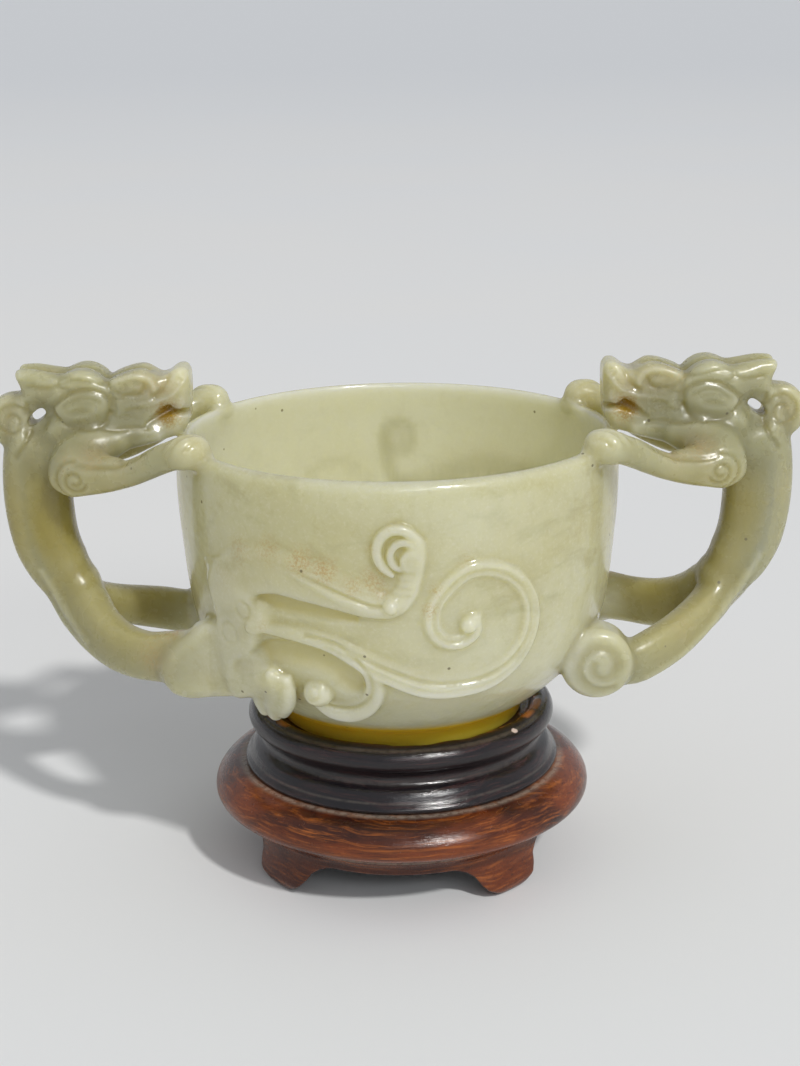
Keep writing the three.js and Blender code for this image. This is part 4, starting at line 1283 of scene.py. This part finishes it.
# The foot ring's outer radius at heights above the table, and half a gap's width at heights.
FACE_LEVELS = (-1, 0, 0.8, 1.8, 3.0, 4.4, 5.8, 6.8, 7.6, 8.2, 8.6, 9.0, 10)
FACE_RADII = (25.2, 25.6, 26.4, 26.7, 26.2, 25.5, 25.1, 25.0, 25.3, 25.9, 26.1, 25.9, 25.7)
GAP_LEVELS = (-1, 0, 0.8, 1.8, 3.0, 4.2, 5.2, 6.2, 9)
GAP_HALF_WIDTHS = (17.4, 17.2, 16.6, 15.4, 14.2, 13.3, 12.0, 9.6, 9.6)
GAP_TOP = 5.9
SIDE_GAP_NARROWER = 2.0
RING_HALF_HEIGHT = 4.55
RING_BORE = 18.5


def foot_ring_field():
    """The foot ring as a field of distances: a moulded ring, sawn into four feet with cusped sides."""
    reach = 29.0
    axis = np.arange(-reach, reach + FOOT_STEP, FOOT_STEP)
    levels = np.arange(-0.9, 10.2, FOOT_STEP)
    x, y, z = axis[:, None, None], axis[None, :, None], levels[None, None, :]
    radius = np.sqrt(x * x + y * y)
    outer = (radius - np.interp(z, FACE_LEVELS, FACE_RADII)) * 0.95
    flat = np.abs(z - RING_HALF_HEIGHT) - RING_HALF_HEIGHT
    ring = np.maximum(np.maximum(outer, RING_BORE - radius), flat)
    turn = math.radians(FOOT_TURN)
    gaps = None
    for across, along in ((x, y), (y, x)):
        side = across * math.cos(turn) + along * math.sin(turn) * (1 if across is x else -1)
        narrower = 0.0 if across is x else SIDE_GAP_NARROWER
        half = np.interp(z, GAP_LEVELS, GAP_HALF_WIDTHS) - narrower
        cut = np.maximum(np.abs(side) - half, z - GAP_TOP)
        gaps = cut if gaps is None else np.minimum(gaps, cut)
    field = -smooth_min(-ring, gaps, 0.7)
    return np.clip(field, -FAR, FAR).astype(np.float32), (axis[0], axis[0], levels[0])


def foot_ring_piece(material):
    """The foot ring's mesh, which stands in for the CAD's."""
    field, origin = foot_ring_field()
    points, faces = mesh_of_field(blurred(field), origin, FOOT_STEP)
    piece = add_mesh("stand_bracket_feet", points * MM, faces, "stand", material)
    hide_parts("stand_foot_ring")
    thin_out(piece, FEET_MOST_TRIANGLES)
    return piece


def ring_of(paint, where):
    """Radius and height in millimetres at a place."""
    parts = paint.node("SeparateXYZ", {0: where}).outputs
    flat = paint.node("CombineXYZ", {0: parts[0], 1: parts[1], 2: 0.0}).outputs[0]
    return paint.node("VectorMath", {0: flat}, operation="LENGTH").outputs["Value"], parts[2]


def around(paint, value, centre, width):
    """1 at centre, fading to 0 at width either side."""
    gap = paint.maths("ABSOLUTE", paint.maths("SUBTRACT", value, centre))
    return paint.ramp(gap, width, 0.0)


# The woods' dark, middle and light tints.
SEAT_TINTS = ((0.005, 0.004, 0.006), (0.012, 0.008, 0.009), (0.06, 0.022, 0.02))
DRUM_TINTS = ((0.028, 0.007, 0.004), (0.17, 0.036, 0.007), (0.40, 0.115, 0.02))
FEET_TINTS = ((0.026, 0.006, 0.004), (0.12, 0.026, 0.006), (0.34, 0.10, 0.02))
PORE = (0.008, 0.005, 0.004)
UNLIT = (0.004, 0.003, 0.003)
SEAM_LEVEL = 9.12
DUST = (0.42, 0.36, 0.29)
RAW_WOOD = (0.27, 0.09, 0.022)
CHIP_PLACE = (18.4, -16.6, 27.6)
CHIP_COLOUR = (0.62, 0.50, 0.44)
RAW_PLACES = (
    ((21.9, -6.0, 27.8), 2.4), ((20.6, -10.2, 27.9), 1.8), ((-20.8, -9.4, 27.8), 2.2),
    ((-18.8, -12.9, 27.9), 1.6)
)


def wood_material(name, tints, dust, lacquer, shine):
    """Old turned hardwood: streaks along the plank, open pores, dust in the grooves, a worn polish."""
    paint = Paint(name)
    dark, middle, light = tints
    where = paint.coordinates()
    radius, height = ring_of(paint, where)
    streaks = paint.noise(
        paint.coordinates((0.035, 0.16, 1.5), warp=0.003, warp_scale=70.0), 1.5, 6.0, 0.68
    )
    broad = paint.noise(paint.coordinates((0.2, 0.5, 1.0), warp=0.006), 0.14, 3.0, 0.55)
    fine = paint.noise(paint.coordinates((0.06, 0.3, 1.2)), 4.0, 4.0, 0.65)
    colour = paint.mix(paint.ramp(broad, 0.34, 0.64), dark, middle)
    colour = paint.mix(paint.ramp(streaks, 0.47, 0.74, 0.0, 0.75), colour, light)
    colour = paint.mix(paint.ramp(fine, 0.52, 0.68, 0.0, 0.6), colour, dark)
    pores = paint.noise(paint.coordinates((0.12, 0.5, 1.5)), 5.5, 2.0, 0.5)
    pore = paint.ramp(pores, 0.62, 0.72)
    colour = paint.mix(paint.times(pore, 0.5), colour, PORE)
    scuff = paint.noise(where, 0.8, 5.0, 0.7)
    dusty = None
    for level, width, ring, amount in dust:
        line = paint.times(around(paint, height, level, width), around(paint, radius, ring, 1.2))
        line = paint.times(line, amount)
        dusty = line if dusty is None else paint.maths("MAXIMUM", dusty, line)
    dusty = paint.times(dusty, paint.ramp(scuff, 0.2, 0.62, 0.15, 1.0))
    colour = paint.mix(dusty, colour, DUST)
    under = paint.times(paint.ramp(radius, 23.4, 22.6), paint.ramp(height, 12.0, 8.0))
    seam = around(paint, height, SEAM_LEVEL, 0.26)
    shaded = paint.maths("MAXIMUM", under, paint.times(seam, 0.9))
    colour = paint.mix(shaded, colour, UNLIT)
    paint.feed(paint.shader.inputs["Base Color"], colour)
    rough = paint.ramp(scuff, 0.3, 0.72, lacquer, lacquer + 0.16)
    paint.feed(paint.shader.inputs["Roughness"], paint.maths("MAXIMUM", rough, paint.times(dusty, 0.85)))
    paint.shader.inputs["IOR"].default_value = 1.5
    paint.shader.inputs["Specular IOR Level"].default_value = shine
    normal = paint.bump(fine, 0.00005, 0.6)
    normal = paint.bump(scuff, 0.00006, 0.6, normal)
    paint.feed(paint.shader.inputs["Normal"], paint.bump(pores, 0.00005, 0.5, normal))
    return paint, colour, radius, height


def seat_material():
    """Nearly black wood, with raw orange wood where the recess's lip has broken away."""
    dust = (
        (27.4, 0.3, 24.45, 0.14), (21.5, 0.8, 23.6, 0.06), (17.4, 0.3, 26.4, 0.3), (18.9, 0.3, 25.7, 0.1)
    )
    paint, colour, radius, height = wood_material("dark_wood", SEAT_TINTS, dust, 0.09, 0.5)
    where = paint.coordinates()
    chips = paint.noise(where, 0.7, 5.0, 0.7)
    lip = paint.times(around(paint, radius, 22.5, 1.2), paint.ramp(height, 26.2, 26.9))
    raw = paint.ramp(paint.times(lip, paint.ramp(chips, 0.52, 0.6)), 0.2, 0.5)
    for place, reach in RAW_PLACES:
        away = paint.node("VectorMath", {0: where, 1: place}, operation="DISTANCE").outputs["Value"]
        broken = paint.ramp(paint.maths("ADD", away, paint.times(chips, 3.0)), reach + 2.2, reach + 0.8)
        broken = paint.times(broken, paint.ramp(radius, 24.3, 23.7))
        raw = paint.maths("MAXIMUM", raw, broken)
    colour = paint.mix(raw, colour, RAW_WOOD)
    chip = paint.node("VectorMath", {0: where, 1: CHIP_PLACE}, operation="DISTANCE").outputs["Value"]
    ragged = paint.maths("ADD", chip, paint.times(chips, 0.9))
    colour = paint.mix(paint.ramp(ragged, 1.15, 0.95), colour, CHIP_COLOUR)
    paint.feed(paint.shader.inputs["Base Color"], colour)
    return paint.material


def drum_material():
    """Red wood with dust at the drum's upper and lower edges."""
    dust = ((17.3, 0.35, 27.0, 0.55), (9.55, 0.3, 26.8, 0.35))
    paint, *_ = wood_material("red_wood", DRUM_TINTS, dust, 0.13, 0.38)
    return paint.material


def feet_material():
    """A darker red wood, with dust above and under the feet."""
    dust = ((8.6, 0.3, 26.0, 0.5), (0.2, 0.4, 26.0, 0.15))
    paint, *_ = wood_material("red_wood_feet", FEET_TINTS, dust, 0.2, 0.4)
    return paint.material


FLOOR = (0.765, 0.77, 0.77)
FLOOR_COOL = (0.75, 0.765, 0.78)
# Painted shade: the colour the floor turns to towards the back.
FLOOR_FAR_SHADE = (0.64, 0.665, 0.70)
FLOOR_CORNERS = [(-9.0, -3.0, 0), (9.0, -3.0, 0), (9.0, 12.0, 0), (-9.0, 12.0, 0)]


def floor_material():
    """A plain pale table with the faintest unevenness, darkened and cooled towards the back as painted shade.
    """
    paint = Paint("floor")
    where = paint.coordinates()
    soft = paint.noise(where, 0.004, 2.0, 0.5)
    colour = paint.mix(paint.ramp(soft, 0.3, 0.7), FLOOR, FLOOR_COOL)
    depth = paint.node("SeparateXYZ", {0: where}).outputs[1]
    paint.feed(
        paint.shader.inputs["Base Color"], paint.mix(paint.ramp(depth, 100.0, 2500.0), colour, FLOOR_FAR_SHADE)
    )
    paint.shader.inputs["Roughness"].default_value = 0.6
    paint.shader.inputs["Specular IOR Level"].default_value = 0.3
    return paint.material


def add_floor(material):
    """A wide table top that runs on past the view."""
    mesh = bpy.data.meshes.new("table_top")
    mesh.from_pydata(FLOOR_CORNERS, [], [(0, 1, 2, 3)])
    mesh.materials.append(material)
    piece = bpy.data.objects.new("table_top", mesh)
    bpy.context.scene.collection.objects.link(piece)


def aim(piece, target):
    """Turns a light so that it shines at a target."""
    direction = mathutils.Vector(target) - piece.location
    piece.rotation_euler = direction.to_track_quat("-Z", "Y").to_euler()


# A sun-like lamp in front on the right, and a wide soft pane for the long highlights.
WINDOW = {"energy": 1.96, "angle": math.radians(4), "color": (1.0, 0.985, 0.96)}
WINDOW_DIRECTION = (0.52, -0.92, 1.0)
PANE = {"shape": "RECTANGLE", "size": 0.8, "size_y": 0.16, "energy": 2.2, "color": (0.96, 0.98, 1.0)}
PANE_PLACE = (0.34, -0.95, 0.62)
PANE_TARGET = (0, 0, 0.04)
ROOM_LIGHT = 0.45
ROOM_COLOUR = (0.985, 0.99, 1.0, 1)
BEYOND_THE_FLOOR = (0.543, 0.558, 0.582, 1)


def add_light(name, kind, settings, place, target):
    """A light of the stage at a place, aimed at a target."""
    light = bpy.data.lights.new(name, kind)
    for key, value in settings.items():
        setattr(light, key, value)
    piece = bpy.data.objects.new(name, light)
    piece.location = place
    aim(piece, target)
    bpy.context.scene.collection.objects.link(piece)


def light_the_room():
    """Even light from all round, and the far floor's pale grey where rays see past the floor."""
    world = bpy.data.worlds.new("room")
    bpy.context.scene.world = world
    world.use_nodes = True
    tree = world.node_tree
    room = tree.nodes["Background"]
    room.inputs["Color"].default_value = ROOM_COLOUR
    room.inputs["Strength"].default_value = ROOM_LIGHT
    beyond = tree.nodes.new("ShaderNodeBackground")
    beyond.inputs["Color"].default_value = BEYOND_THE_FLOOR
    seen = tree.nodes.new("ShaderNodeLightPath")
    either = tree.nodes.new("ShaderNodeMixShader")
    shows = seen.outputs["Is Camera Ray"]
    for kind in ("Is Glossy Ray", "Is Transmission Ray"):
        higher = tree.nodes.new("ShaderNodeMath")
        higher.operation = "MAXIMUM"
        tree.links.new(shows, higher.inputs[0])
        tree.links.new(seen.outputs[kind], higher.inputs[1])
        shows = higher.outputs[0]
    tree.links.new(shows, either.inputs[0])
    tree.links.new(room.outputs[0], either.inputs[1])
    tree.links.new(beyond.outputs[0], either.inputs[2])
    tree.links.new(either.outputs[0], tree.nodes["World Output"].inputs["Surface"])


# The camera that was fitted to the photo, in metres, degrees and the photo's pixels.
CAMERA_DISTANCE = 0.322
CAMERA_ELEVATION = math.radians(16.59)
CAMERA_ROLL = math.radians(-0.80)
LOOK_HEIGHT = 0.05607
FOCAL_PIXELS = 1944.0
IMAGE_HEIGHT = 1066.0
CENTRE_SHIFT = 1.5
SENSOR = 36.0


def add_camera():
    """The photo's camera."""
    camera = bpy.data.cameras.new("camera")
    camera.sensor_width = SENSOR
    camera.lens = SENSOR * FOCAL_PIXELS / IMAGE_HEIGHT
    camera.shift_x = CENTRE_SHIFT / IMAGE_HEIGHT
    piece = bpy.data.objects.new("camera", camera)
    bpy.context.scene.collection.objects.link(piece)
    back, up = math.cos(CAMERA_ELEVATION), math.sin(CAMERA_ELEVATION)
    piece.location = (0, -CAMERA_DISTANCE * back, CAMERA_DISTANCE * up + LOOK_HEIGHT)
    pitch = mathutils.Matrix.Rotation(math.pi / 2 - CAMERA_ELEVATION, 4, "X")
    roll = mathutils.Matrix.Rotation(CAMERA_ROLL, 4, "Z")
    piece.rotation_euler = (pitch @ roll).to_euler()
    bpy.context.scene.camera = piece


cup_piece(jade_material())
turned_piece(
    "stand_seat_turning", SEAT_PROFILE, "stand", seat_material(), "stand_seat", worn_seat
)
turned_piece(
    "stand_drum_turning", DRUM_PROFILE, "stand", drum_material(), "stand_drum", worn_drum
)
foot_ring_piece(feet_material())
add_floor(floor_material())
add_light("window", "SUN", WINDOW, WINDOW_DIRECTION, (0, 0, 0))
add_light("pane", "AREA", PANE, PANE_PLACE, PANE_TARGET)
light_the_room()
add_camera()
bpy.context.scene.view_settings.view_transform = "Standard"
